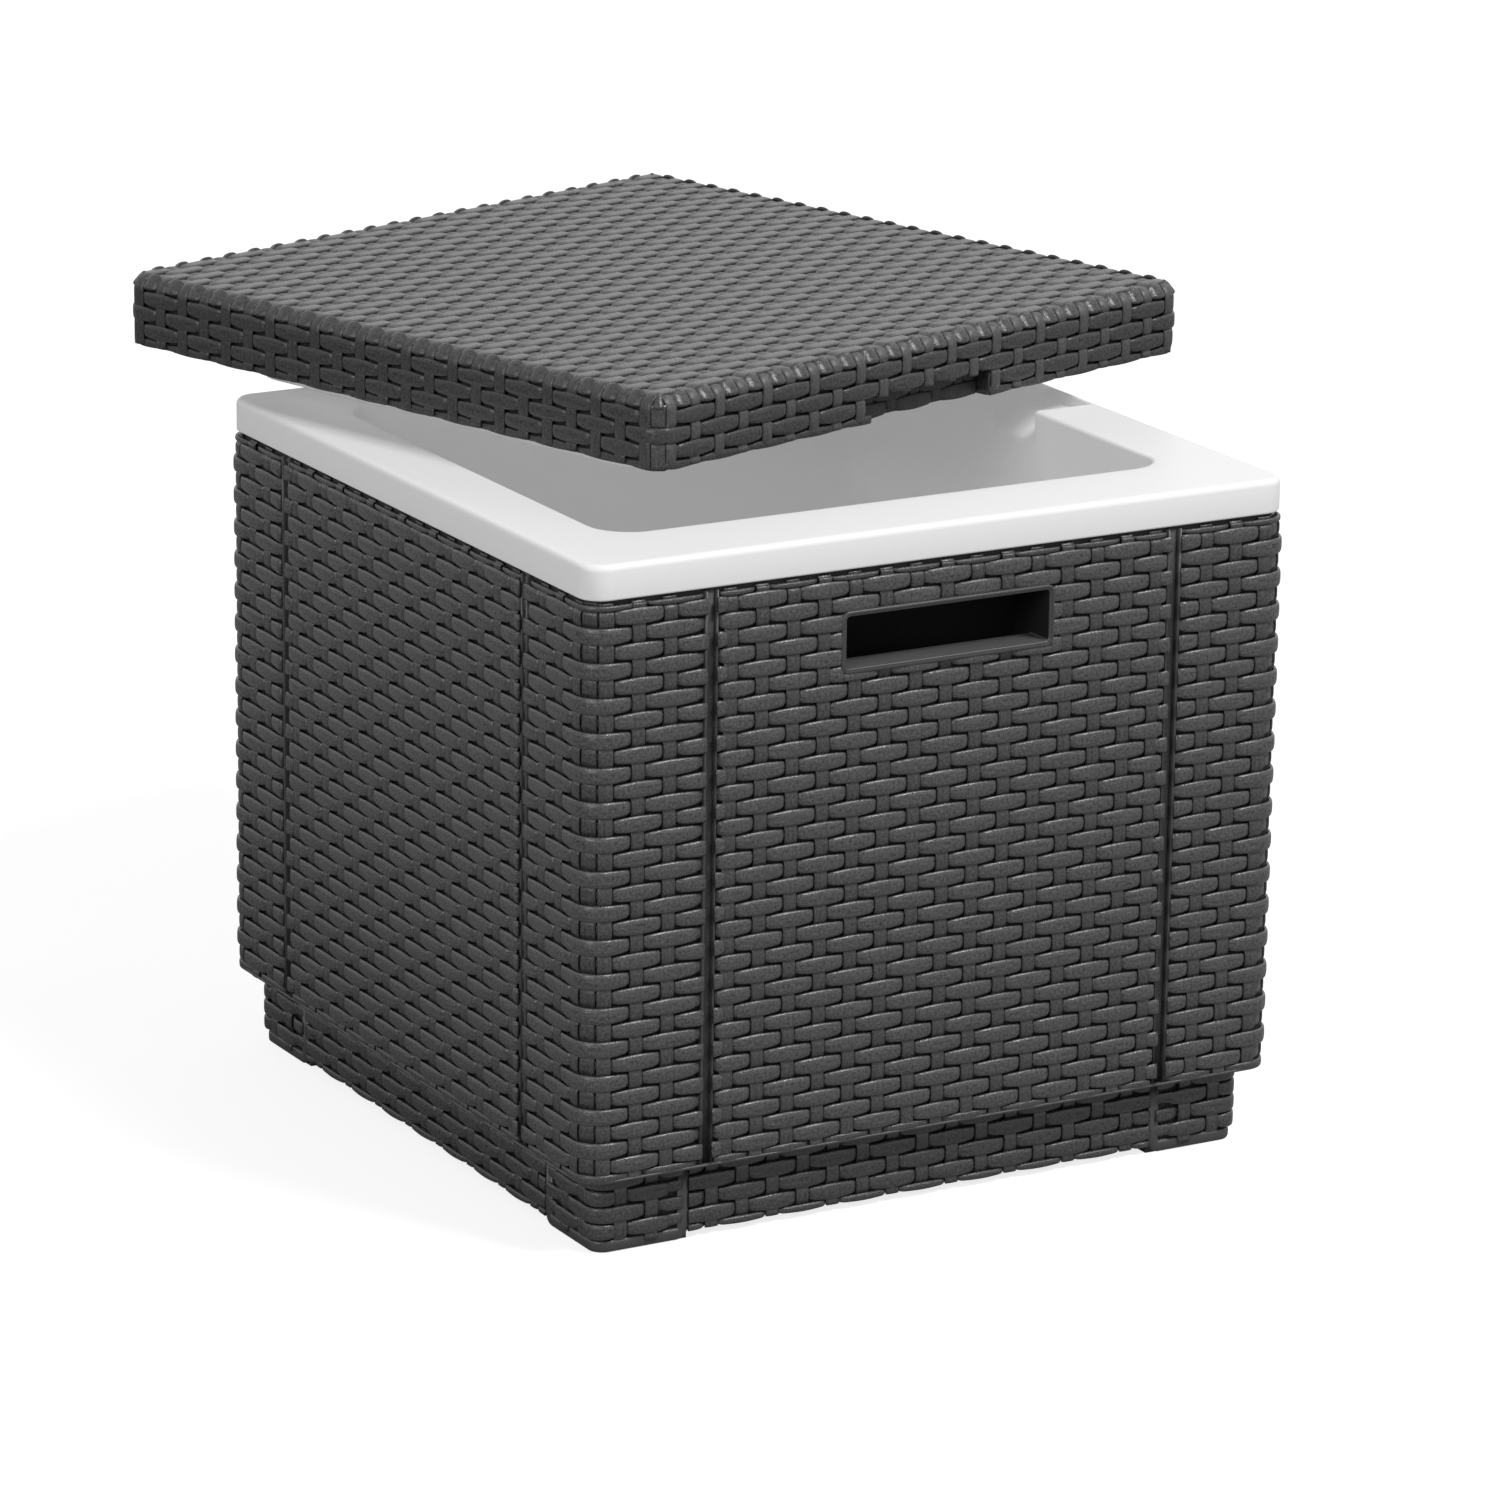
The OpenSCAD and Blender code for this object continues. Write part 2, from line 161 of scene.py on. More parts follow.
def lid_place(co):
    """Points of the lid's own frame, put where the lid lies."""
    return turned(co, LID_TURN) + LID_BASE


def with_z(xy, z):
    """Points of the plane, each with its height."""
    return np.concatenate([xy, np.broadcast_to(z, xy.shape[:-1])[..., None]], -1)


def quarter(steps):
    return np.linspace(0, np.pi / 2, steps)


# Strands

def oval(width, thick, square):
    """Flat-topped oval: half the width times the cosine to the power 2 / square, and half the thickness
    times the sine to the same power, each with its sign kept."""
    c, s = np.cos(STRAND_ROUND), np.sin(STRAND_ROUND)
    power = 2 / np.asarray(square)[..., None]
    across = np.sign(c) * np.abs(c) ** power * width[..., None] / 2
    up = np.sign(s) * np.abs(s) ** power * thick[..., None] / 2
    return across, up


def sweep(path, out, width, thick, ring=False, square=STRAND_SQUARE):
    """Strands of one length: an oval stands across each path at each of its points, its flat face along
    the outward direction. Arrays are strands x points x 3. Gives points, corners, sizes and UVs."""
    if ring:
        along = np.roll(path, -1, 1) - np.roll(path, 1, 1)
    else:
        along = np.gradient(path, axis=1)
    out = np.broadcast_to(out, path.shape)
    side = np.cross(along, out)
    side /= np.linalg.norm(side, axis=-1, keepdims=True)
    across, up = oval(np.broadcast_to(width, path.shape[:2]), np.broadcast_to(thick, path.shape[:2]),
                      square)
    co = path[:, :, None] + side[:, :, None] * across[..., None] + out[:, :, None] * up[..., None]
    strands, n, m = co.shape[:3]
    index = np.arange(strands * n * m).reshape(strands, n, m)
    ahead = np.roll(index, -1, 1) if ring else index[:, 1:]
    here = index if ring else index[:, :-1]
    quads = np.stack([here, ahead, np.roll(ahead, -1, 2), np.roll(here, -1, 2)], -1).reshape(-1, 4)
    loops = [quads.ravel()]
    sizes = [np.full(len(quads), 4)]
    if not ring:
        loops += [index[:, 0].ravel(), index[:, -1, ::-1].ravel()]
        sizes += [np.full(2 * strands, m)]
    run = np.cumsum(np.linalg.norm(np.diff(path, axis=1, prepend=path[:, :1]), axis=-1), axis=1)
    uv = np.empty((strands, n, m, 2))
    uv[..., 0] = run[..., None]
    uv[..., 1] = np.arange(strands)[:, None, None] + 0.5 + 0.4 * np.cos(STRAND_ROUND)
    return co.reshape(-1, 3), np.concatenate(loops), np.concatenate(sizes), uv.reshape(-1, 2)


def joined(parts):
    """Several sweeps as one, with their strands numbered on."""
    co, loops, sizes, uv = [], [], [], []
    points, strands = 0, 0
    for part in parts:
        co.append(part[0])
        loops.append(part[1] + points)
        sizes.append(part[2])
        uv.append(part[3] + np.array([0, strands]))
        points += len(part[0])
        strands += math.ceil(part[3][:, 1].max())
    return tuple(np.concatenate(a) for a in (co, loops, sizes, uv))


def stations(knots, signs, dive):
    """Places along a strand. A stretch on which it dives is cut at the given shares, a stretch on which
    it climbs at the same shares from its other end, and a level one in four."""
    knots = np.asarray(knots, float)
    climb = (0,) + tuple(1 - share for share in dive[:0:-1])
    cut = []
    for i, (sign, following) in enumerate(zip(signs, signs[1:])):
        shares = dive if sign > following else climb if sign < following else LEVEL_CUT
        cut.append(knots[i] + (knots[i + 1] - knots[i]) * np.array(shares))
    return np.append(np.concatenate(cut), knots[-1])


def over_under(bias, sharp, arch):
    """Makes the rise of a kind of strand, from -1 to 1. Between crossings its level eases from one sign to
    the next as a half cosine, and a hyperbolic tangent of the level plus the bias makes long stretches
    and short dives. The arch takes its share off with one minus the level, halved, so that a stretch is
    highest at its middle. Gives the rise and the plain level."""
    def rise_at(at, knots, signs):
        knots = np.asarray(knots, float)
        i = np.clip(np.searchsorted(knots, at, "right") - 1, 0, len(knots) - 2)
        t = (at - knots[i]) / (knots[i + 1] - knots[i])
        ease = (1 - np.cos(np.pi * t)) / 2
        level = signs[i] * (1 - ease) + signs[i + 1] * ease
        rise = np.tanh(sharp * (level + bias)) / math.tanh(sharp * (1 + bias))
        return rise * (1 - arch * (1 - level) / 2), level
    return rise_at


row_rise = over_under(bias=0.75, sharp=5.0, arch=0.35)
top_rise = over_under(bias=0.62, sharp=5.0, arch=0.1)
stake_rise = over_under(bias=0.12, sharp=1.6, arch=0.0)


def taper(rise, level):
    """A row narrows evenly towards its ends and rounds off where it dives."""
    return (0.91 + 0.09 * level) * (0.87 + 0.13 * rise)


def by_pattern(signs, build):
    """Strands that dive at the same crossings share their stations: one sweep for each such pattern."""
    signs = np.atleast_2d(signs)
    patterns, which = np.unique(signs, axis=0, return_inverse=True)
    return joined([build(pattern, np.flatnonzero(which.ravel() == i))
                   for i, pattern in enumerate(patterns)])


def odd_sign(number):
    """1 for an odd number and -1 for an even one."""
    return np.where(np.asarray(number) % 2 == 1, 1.0, -1.0)


def framed(end, places):
    """Knots at the given places, and one at an end on each side."""
    return np.concatenate([[-end], places, [end]])


# Paths round a square with round corners

def side_length(half, r):
    """Length of one side with one corner of a square outline with round corners."""
    return 2 * (half - r) + math.pi * r / 2


def outline(s, half, r):
    """Point and outward normal at length s of a square outline with round corners. It starts at the
    middle of the front and runs to the right: a straight stretch, then a quarter circle, four times."""
    straight = half - r
    length = side_length(half, r)
    turns = np.floor((s + straight) / length)
    t = s + straight - turns * length
    on_arc = t > 2 * straight
    phi = (t - 2 * straight) / r
    x = np.where(on_arc, straight + r * np.sin(phi), t - straight)
    y = np.where(on_arc, -straight - r * np.cos(phi), -half)
    nx = np.where(on_arc, np.sin(phi), 0)
    ny = np.where(on_arc, -np.cos(phi), -1)
    c, d = np.cos(turns * np.pi / 2), np.sin(turns * np.pi / 2)
    return np.stack([x * c - y * d, x * d + y * c], -1), np.stack([nx * c - ny * d, nx * d + ny * c], -1)


def rows(half, r, knots, signs, heights, width=1.0, swing=ROW_SWING, ring=False, tilt=0.0,
         rise_of=row_rise):
    """Level rows along an outline, one for each height: out by the swing times the rise."""
    heights = np.asarray(heights, float)
    width = np.broadcast_to(width, heights.shape)

    def build(pattern, which):
        s = stations(knots, pattern, ROW_DIVE)
        if ring:
            s = s[:-1]
        rise, level = rise_of(s, knots, pattern)
        xy, normal = outline(s, half, r)
        out = with_z(normal * math.cos(tilt), math.sin(tilt))
        path = with_z(xy, 0) + out * (swing * rise)[:, None]
        path = path + UP * heights[which, None, None]
        return sweep(path, out, ROW_W * width[which, None] * taper(rise, level), ROW_T, ring)
    return by_pattern(signs, build)


def stakes(half, r, at, knots, signs, width=STAKE_W, swing=STAKE_SWING):
    """Upright stakes at the given places of an outline: out by the swing times the rise."""
    xy, normal = outline(np.asarray(at, float), half, r)
    foot, out = with_z(xy, 0)[:, None], with_z(normal, 0)[:, None]

    def build(pattern, which):
        z = stations(knots, pattern, STAKE_DIVE)
        rise, _ = stake_rise(z, knots, pattern)
        path = foot[which] + out[which] * (swing * rise)[:, None] + z[:, None] * UP
        return sweep(path, out[which], width, STAKE_T)
    return by_pattern(signs, build)


def bars(half, r, at, z, width, thick):
    """Plain bars along an outline, each through its row of places and heights."""
    at, z = np.broadcast_arrays(at, z)
    xy, normal = outline(at, half, r)
    return sweep(with_z(xy, z), with_z(normal, 0), width, thick)


def posts(half, r, at, low, high, width, thick):
    """Plain upright bars at the given places of an outline."""
    return bars(half, r, np.array(at)[:, None], np.linspace(low, high, 9), width, thick)


def along_side(part, side):
    """A sweep built on the front, turned to another side."""
    return (turned(part[0], side * math.pi / 2), *part[1:])


# Cores behind the weave: the frame's own solids with their outer faces drawn in

ON_WALL = 0.05 * MM
ON_LID = 0.1 * MM
SAME_POINT = 0.001 * MM
CORE_SHARP = 35


def outline_depth(xy, half, r):
    """Signed distance to a square outline with round corners, and the outward direction."""
    q = np.abs(xy) - (half - r)
    out = np.maximum(q, 0)
    far = np.linalg.norm(out, axis=1)
    depth = far + np.minimum(q.max(1), 0) - r
    flat = np.where(q[:, :1] > q[:, 1:], [[1.0, 0.0]], [[0.0, 1.0]])
    direction = np.where(far[:, None] > 1e-9, out / np.maximum(far, 1e-9)[:, None], flat)
    return depth, direction * np.where(xy < 0, -1, 1)


def core(name, node, draw_in, body="box"):
    """Copy of a node's mesh with its doubles merged and its outer faces moved by a function."""
    mesh = NODES[node].data.copy()
    mesh.name = name
    build = bmesh.new()
    build.from_mesh(mesh)
    bmesh.ops.remove_doubles(build, verts=build.verts, dist=SAME_POINT)
    build.to_mesh(mesh)
    build.free()
    if "custom_normal" in mesh.attributes:
        mesh.attributes.remove(mesh.attributes["custom_normal"])
    co = np.empty(3 * len(mesh.vertices), np.float32)
    mesh.vertices.foreach_get("co", co)
    co = draw_in(co.reshape(-1, 3).astype(float))
    mesh.vertices.foreach_set("co", np.ascontiguousarray(co, np.float32).ravel())
    mesh.update()
    mesh.materials.clear()
    # The core takes the near-black backing: painted shade seen through the gaps in the weave
    adopt(name, mesh, body, WEAVE, node, [CORE_PAINTED_SHADE_PLASTIC], CORE_SHARP)


def wall_draw_in(half, r):
    """Moves what lies on an upright outline straight in."""
    def move(co):
        distance, direction = outline_depth(co[:, :2], half, r)
        on_face = np.abs(distance) < ON_WALL
        co[:, :2] -= direction * (CORE_IN * on_face)[:, None]
        return co
    return move


def lid_draw_in(co):
    """Moves the lid shell's outer surface in along its own normal: the side straight in, the top down,
    and the round edge towards its centre line."""
    own = turned(co - LID_BASE, -LID_TURN)
    distance, direction = outline_depth(own[:, :2], LID_HALF, LID_R)
    q = np.stack([np.maximum(distance + LID_EDGE_R, 0), np.maximum(own[:, 2] - LID_H + LID_EDGE_R, 0)], 1)
    on_face = np.abs(np.linalg.norm(q, axis=1) - LID_EDGE_R) < ON_LID
    shift = q * (on_face * CORE_IN / LID_EDGE_R)[:, None]
    own[:, :2] -= direction * shift[:, :1]
    own[:, 2] -= shift[:, 1]
    return lid_place(own)


# Walls

PANEL_STAKES = np.arange(-7, 8)
POST_STAKES = np.array([10.6, 28.9, 47.1]) * MM
POST_SHIFT = 3.6 * MM
STRIP_W = 1.8 * MM
STRIP_IN = 2.3 * MM
PANEL_EDGE = 1.6 * MM
EDGE_IN = 3 * MM
EDGE_T = 5.2 * MM
BORDER_IN = 0.9 * MM
BORDER_UP = 0.9 * MM
BORDER_W = 1.8 * MM
BORDER_T = 3.4 * MM
GROOVE_IN = 2.9 * MM
TURN_IN = STAKE_IN + 1.6 * MM
TURN_W = 9 * MM
TURN_SWING = 0.8 * MM
END_ROW_IN = 1.1 * MM
END_ROW_Z = np.array([WALL_TOP - 3.9 * MM, WALL_LOW + 2.5 * MM])
END_ROW_W = np.array([0.34, 0.54])
ROW_Z = WALL_TOP - np.arange(1, ROWS) * ROW_PITCH
STAKE_TOP = WALL_TOP - 1.6 * MM
STAKE_KNOTS = np.append(WALL_TOP - np.arange(ROWS, 0, -1) * ROW_PITCH, [WALL_TOP - 3.4 * MM, STAKE_TOP])
BEZEL_HALF = CUP_HIGH.x
BEZEL_LOW, BEZEL_TOP = CUP_HIGH.z - 33.5 * MM, CUP_HIGH.z
UNDER_BEZEL = 1.2 * MM
SILL_ROW_Z, SILL_ROW_W = BEZEL_LOW - 1.4 * MM, 0.55
SILL_IN = 19 * MM


def row_signs(row, stake):
    """A row rides over a stake where their numbers add up to an odd number."""
    return odd_sign(np.asarray(row)[:, None] + np.asarray(stake))


def whole_stake_signs(stake):
    """Signs of a stake over the whole wall. Its top end bends in."""
    return np.hstack([-row_signs(stake, np.arange(ROWS, -1, -1)), np.full((len(stake), 1), -1.0)])


def border(start, end):
    """Smooth bar along the foot of a wall, between two places of its outline."""
    return bars(HALF - BORDER_IN, CORNER_R - BORDER_IN, np.linspace(start, end, 49)[None],
                WALL_LOW + BORDER_UP, BORDER_W, BORDER_T)


def wall_panel(with_cup):
    """Rows, stakes, edge strips and groove floors of a panel on the front. A hand cup cuts the rows and
    stakes that it meets."""
    half, r = HALF - ROW_IN, CORNER_R - ROW_IN
    number, crossed = PANEL_STAKES, np.arange(-8, 9)
    row = np.arange(1, ROWS)
    cut = (ROW_Z < BEZEL_TOP - MM) & (ROW_Z > BEZEL_LOW - MM) & with_cup
    full = framed(PANEL_HALF, number * STAKE_PITCH)
    parts = [rows(half, r, full, row_signs(row[~cut], crossed), ROW_Z[~cut])]
    if with_cup:
        edge = BEZEL_HALF - UNDER_BEZEL
        beside = number[number * STAKE_PITCH < -edge]
        ends = np.ones((cut.sum(), 1))
        for side in (-1, 1):
            knots = np.concatenate([[-PANEL_HALF], beside * STAKE_PITCH, [-edge]]) * -side
            signs = np.hstack([row_signs(row[cut], [-8, *beside]), ends])
            order = np.argsort(knots)
            parts.append(rows(half, r, knots[order], signs[:, order], ROW_Z[cut]))
        under = number[np.abs(number * STAKE_PITCH) < edge]
        signs = np.hstack([[[1]], row_signs(row[cut][-1:], under), [[1]]])
        parts.append(rows(half, r, framed(edge, under * STAKE_PITCH), signs, [SILL_ROW_Z], SILL_ROW_W))
    woven_rows = joined(parts)
    stake_half, stake_r = HALF - STAKE_IN, CORNER_R - STAKE_IN
    clear = number[np.abs(number * STAKE_PITCH) > BEZEL_HALF] if with_cup else number
    parts = [stakes(stake_half, stake_r, clear * STAKE_PITCH, STAKE_KNOTS, whole_stake_signs(clear))]
    if with_cup:
        start = np.full((len(under), 1), 0.2)
        for low, high, end in ((WALL_LOW, BEZEL_LOW + MM, 0.2), (BEZEL_TOP - MM, STAKE_TOP, -1.0)):
            inside = (STAKE_KNOTS > low + MM) & (STAKE_KNOTS < high - MM)
            knots = np.concatenate([[low], STAKE_KNOTS[inside], [high]])
            signs = np.hstack([start, whole_stake_signs(under)[:, inside], np.full_like(start, end)])
            parts.append(stakes(stake_half, stake_r, under * STAKE_PITCH, knots, signs))
    parts.append(rows(half - END_ROW_IN, r, full, row_signs([0, ROWS], crossed), END_ROW_Z, END_ROW_W))
    strip_at = PANEL_HALF - PANEL_EDGE / 2
    strips = posts(HALF - EDGE_IN, CORNER_R, [-strip_at, strip_at], WALL_LOW, STAKE_TOP, PANEL_EDGE, EDGE_T)
    groove_at = PANEL_HALF + GROOVE_W / 2
    grooves = posts(HALF - GROOVE_IN, CORNER_R, [-groove_at, groove_at], WALL_LOW, WALL_TOP, GROOVE_W + MM,
                    MM)
    return woven_rows, joined(parts), joined([strips, border(-PANEL_HALF, PANEL_HALF)]), grooves


def corner_knots(half, r, edge):
    """Places where a row round the front right corner starts, crosses its stakes, turns and ends. The
    stakes before the corner stand a little further from it than those after it."""
    length = side_length(half, r)
    before = np.sort(HALF - POST_STAKES - POST_SHIFT)
    after = length - (HALF - POST_STAKES)
    return np.concatenate([[edge], before, [(length - POST_SHIFT) / 2], after, [length - edge]])


def corner_post():
    """Rows that run from one edge strip round the corner to the other, seven stakes and the strips."""
    half, r = HALF - ROW_IN, CORNER_R - ROW_IN
    edge = HALF - POST_W + MM
    knots = corner_knots(half, r, edge)
    row = np.arange(ROWS + 1)
    beside = np.maximum(row_signs(row, [8, 9, 10, 11]), [-0.8, -1, -1, -1])
    signs = np.hstack([beside, -odd_sign(row)[:, None], beside[:, ::-1]])
    end_rows = rows(half - END_ROW_IN, r - END_ROW_IN, knots, signs[::ROWS], END_ROW_Z, END_ROW_W)
    woven_rows = rows(half, r, knots, signs[1:-1], ROW_Z)
    half, r = HALF - STAKE_IN, CORNER_R - STAKE_IN
    at = corner_knots(half, r, edge)[[1, 2, 3, 5, 6, 7]]
    uprights = stakes(half, r, at, STAKE_KNOTS, whole_stake_signs([9, 10, 11, 11, 10, 9]))
    half, r = HALF - TURN_IN, CORNER_R - TURN_IN
    turn = stakes(half, r, [(side_length(half, r) - POST_SHIFT) / 2], STAKE_KNOTS, whole_stake_signs([11]),
                  TURN_W, TURN_SWING)
    half, r = HALF - STRIP_IN, CORNER_R - STRIP_IN
    strip_at = HALF - POST_W + STRIP_W / 2
    strips = posts(half, r, [strip_at, side_length(half, r) - strip_at], WALL_LOW, STAKE_TOP, STRIP_W,
                   EDGE_T)
    start = PANEL_HALF - 0.1 * MM
    foot = border(start, side_length(HALF - BORDER_IN, CORNER_R - BORDER_IN) - start)
    return woven_rows, joined([uprights, turn, end_rows]), joined([strips, foot])


# Plinth

PLINTH_ROW_Z = (12.2 + 9.12 * np.arange(4)) * MM
SKIRT_HALF = HALF - SKIRT_IN
FOOT_EDGE_W = 6.6 * MM
FOOT_EDGE_T = 4.2 * MM
FOOT_EDGE_IN = 2.7 * MM
SEAL_IN = 4.5 * MM
SEAL_W = 9 * MM
SEAL_T = 3 * MM


def foot_weave():
    """Four rows round the foot's corner, two stakes on each face, and a smooth strip in one sweep down one
    end, along the sole and up the other end."""
    half, r = FOOT_HALF - ROW_IN, FOOT_R - ROW_IN
    length = side_length(half, r)
    at = np.array([9, 10]) * STAKE_PITCH
    edge = FOOT_END + 4 * MM
    held = edge + 7 * MM
    first = np.append([edge, held], at)
    knots = np.concatenate([first, [length / 2], length - first[::-1]])
    beside = row_signs(np.arange(4), [9, 10])
    ends = -0.65 - 0.1 * beside[:, :1]
    signs = np.hstack([ends, ends, beside, np.full((4, 1), 0.8), beside[:, ::-1], ends, ends])
    woven_rows = rows(half, r, knots, signs, PLINTH_ROW_Z)
    half, r = FOOT_HALF - STAKE_IN, FOOT_R - STAKE_IN
    uprights = stakes(half, r, np.append(at, side_length(half, r) - at[::-1]),
                      np.append(4 * MM, PLINTH_ROW_Z), -row_signs([9, 10, 10, 9], np.arange(-1, 4)))
    half, r = FOOT_HALF - FOOT_EDGE_IN, FOOT_R - FOOT_EDGE_IN
    length = side_length(half, r)
    turn = FOOT_EDGE_W / 2
    low = turn + 0.4 * MM
    t = quarter(5)
    s = FOOT_END + turn + np.append(0, turn * (1 - np.cos(t)))
    z = np.append(FOOT_TOP, low + turn * (1 - np.sin(t)))
    level = np.linspace(s[-1], length - s[-1], 40)[1:-1]
    xy, normal = outline(np.concatenate([s, level, (length - s)[::-1]]), half, r)
    path = with_z(xy, np.concatenate([z, np.full(len(level), low), z[::-1]]))
    strip = sweep(path[None], with_z(normal, 0), FOOT_EDGE_W, FOOT_EDGE_T, square=STRIP_SQUARE)
    return woven_rows, uprights, strip


def skirt_weave():
    """Five rows between two feet, the stakes that cross them and a seal at each end."""
    number, row = PANEL_STAKES, np.arange(-1, 4)
    ends = np.zeros((5, 1))
    signs = np.hstack([ends, row_signs(row, number), ends])
    woven_rows = rows(SKIRT_HALF - ROW_IN, FOOT_R, framed(FOOT_END, number * STAKE_PITCH), signs,
                      np.append(SKIRT_FOOT + 1.9 * MM, PLINTH_ROW_Z), [0.46, 1, 1, 1, 1])
    uprights = stakes(SKIRT_HALF - STAKE_IN, FOOT_R, number * STAKE_PITCH,
                      np.append(SKIRT_FOOT + 0.3 * MM, PLINTH_ROW_Z), -row_signs(number, row))
    seals = posts(SKIRT_HALF - SEAL_IN, FOOT_R, [-FOOT_END, FOOT_END], SKIRT_FOOT + 0.5 * MM, WALL_LOW + MM,
                  SEAL_W, SEAL_T)
    return woven_rows, joined([uprights, seals])


# Lid, in its own frame

LID_STAKES = np.arange(-11, 12)
LID_AT = LID_STAKES * LID_PITCH
LID_GAPS = LID_AT[:-1] + LID_PITCH / 2
NOTCH_STAKES = np.arange(-2, 3)
RING_Z = np.array([28.2, 19.0, 9.9, 2.5]) * MM
NOTCH_ROW_Z = np.array([3.4, 11.2]) * MM
LID_FLAT = LID_HALF - LID_EDGE_R
LID_IN = 1.2 * MM
LID_SWING = 1.6 * MM
EDGE_TURN = LID_EDGE_R - LID_IN
RING_ANGLE = math.radians(42)
EDGE_RING_IN = LID_EDGE_R - EDGE_TURN * math.cos(RING_ANGLE)
EDGE_RING_Z = LID_H - LID_EDGE_R + EDGE_TURN * math.sin(RING_ANGLE)
EDGE_RING_W, EDGE_RING_SWING = 1.2, 1.2 * MM
LOW_RING_IN = LID_IN + 0.8 * MM
LOW_RING_W, LOW_RING_SWING = 0.56, 0.4 * MM
LID_CORNER_IN = LID_IN + 0.5 * MM
LID_CORNER_W, LID_CORNER_SWING = 8.6 * MM, 0.8 * MM
JAMB_AT, JAMB_Z, JAMB_W, JAMB_T = NOTCH_HALF + 0.5 * MM, 7.4 * MM, 14 * MM, 1.6 * MM
STAKE_ODD = odd_sign(LID_STAKES)
TOP_DIVE = (0, 0.3, 0.55, 0.68, 0.74, 0.79, 0.87)

# Width, swing and squareness of a strand, each on the top and on the sides, and how deep it lies on top
TOP_ROW = ((9.15 * MM, 7.9 * MM), (0.9 * MM, STAKE_SWING), (5, 2.3), 0.3 * MM)
TOP_CROSS = ((8 * MM, 7.4 * MM), (0.5 * MM, STAKE_SWING), (3, 2.3), 0.8 * MM)


def down_side(z):
    """Length of a strand from the middle of the lid's top, over the edge and down to a height."""
    return LID_FLAT + EDGE_TURN * math.pi / 2 + LID_H - LID_EDGE_R - z


RING_AT_EDGE = LID_FLAT + EDGE_TURN * (math.pi / 2 - RING_ANGLE)
SIDE_KNOTS = np.array([RING_AT_EDGE] + [down_side(z) for z in (*RING_Z[:3], 1.2 * MM)])


def side_signs(stake):
    """Signs of a stake down the lid's side: over the edge ring, then by turns under or over."""
    odd = odd_sign(stake)[:, None]
    return np.hstack([np.ones_like(odd), odd, -odd, odd, -0.4 * odd])


def over_lid(axis, at, knots, signs, dive, rise_of, widths, swings, squares, sink):
    """Strands across the lid's top along X (axis 0) or Y (axis 1), over its round edges and down. Width,
    swing and squareness change from the first of their pair on the top to the second on the sides, and
    the strand lies deeper on the top by the sink."""
    def build(pattern, which):
        s = stations(knots, pattern, dive)
        rise, _ = rise_of(s, knots, pattern)
        a = np.abs(s)
        phi = np.clip((a - LID_FLAT) / EDGE_TURN, 0, np.pi / 2)
        down = np.maximum(a - LID_FLAT - EDGE_TURN * np.pi / 2, 0)
        out = np.zeros((len(s), 3))
        out[:, axis] = np.sign(s) * np.sin(phi)
        out[:, 2] = np.cos(phi)
        line = np.zeros((len(s), 3))
        line[:, axis] = np.sign(s) * (np.minimum(a, LID_FLAT) + EDGE_TURN * np.sin(phi))
        line[:, 2] = LID_H - LID_EDGE_R + EDGE_TURN * np.cos(phi) - down
        share = np.minimum(2 * np.sin(phi), 1)
        wide, swing, square = (a * (1 - share) + b * share for a, b in (widths, swings, squares))
        line += out * (swing * rise - sink * (1 - share))[:, None]
        path = np.repeat(line[None], len(which), 0)
        path[..., 1 - axis] = at[which, None]
        return sweep(path, out, wide, ROW_T, square=square)
    return by_pattern(signs, build)


def lid_rows():
    """Rows along X. Every second one turns over the left and right edges and becomes a side stake."""
    knots = np.concatenate([-SIDE_KNOTS[::-1], LID_AT, SIDE_KNOTS])
    side = side_signs(LID_STAKES)
    top = np.broadcast_to(STAKE_ODD, (len(LID_STAKES), len(LID_STAKES)))
    signs = np.hstack([side[:, ::-1], top, side])
    long = over_lid(0, LID_AT, knots, signs, TOP_DIVE, top_rise, *TOP_ROW)
    signs = np.tile(np.concatenate([[-1], -STAKE_ODD, [-1]]), (len(LID_GAPS), 1))
    short = over_lid(0, LID_GAPS, framed(LID_FLAT + 3.5 * MM, LID_AT), signs, TOP_DIVE, top_rise, *TOP_ROW)
    return long, short


def lid_cross():
    """Strands along Y, which turn over the front and rear edges. The notch cuts five of them."""
    row = np.arange(-22, 23)
    parts = []
    for cut in (False, True):
        number = LID_STAKES[np.isin(LID_STAKES, NOTCH_STAKES) == cut]
        side = side_signs(number)
        front_knots, front = -SIDE_KNOTS[::-1], side[:, ::-1]
        if cut:
            front_knots = np.append(-down_side(NOTCH_H - MM), front_knots[2:])
            front = np.hstack([np.full((len(number), 1), 0.4), front[:, 2:]])
        knots = np.concatenate([front_knots, row * LID_PITCH / 2, SIDE_KNOTS])
        signs = np.hstack([front, -row_signs(number, row), side])
        parts.append(over_lid(1, number * LID_PITCH, knots, signs, STAKE_DIVE, stake_rise, *TOP_CROSS))
    return joined(parts)


def round_sides(places, length):
    """Places along one side, repeated on all four."""
    return np.concatenate([places + side * length for side in range(4)])


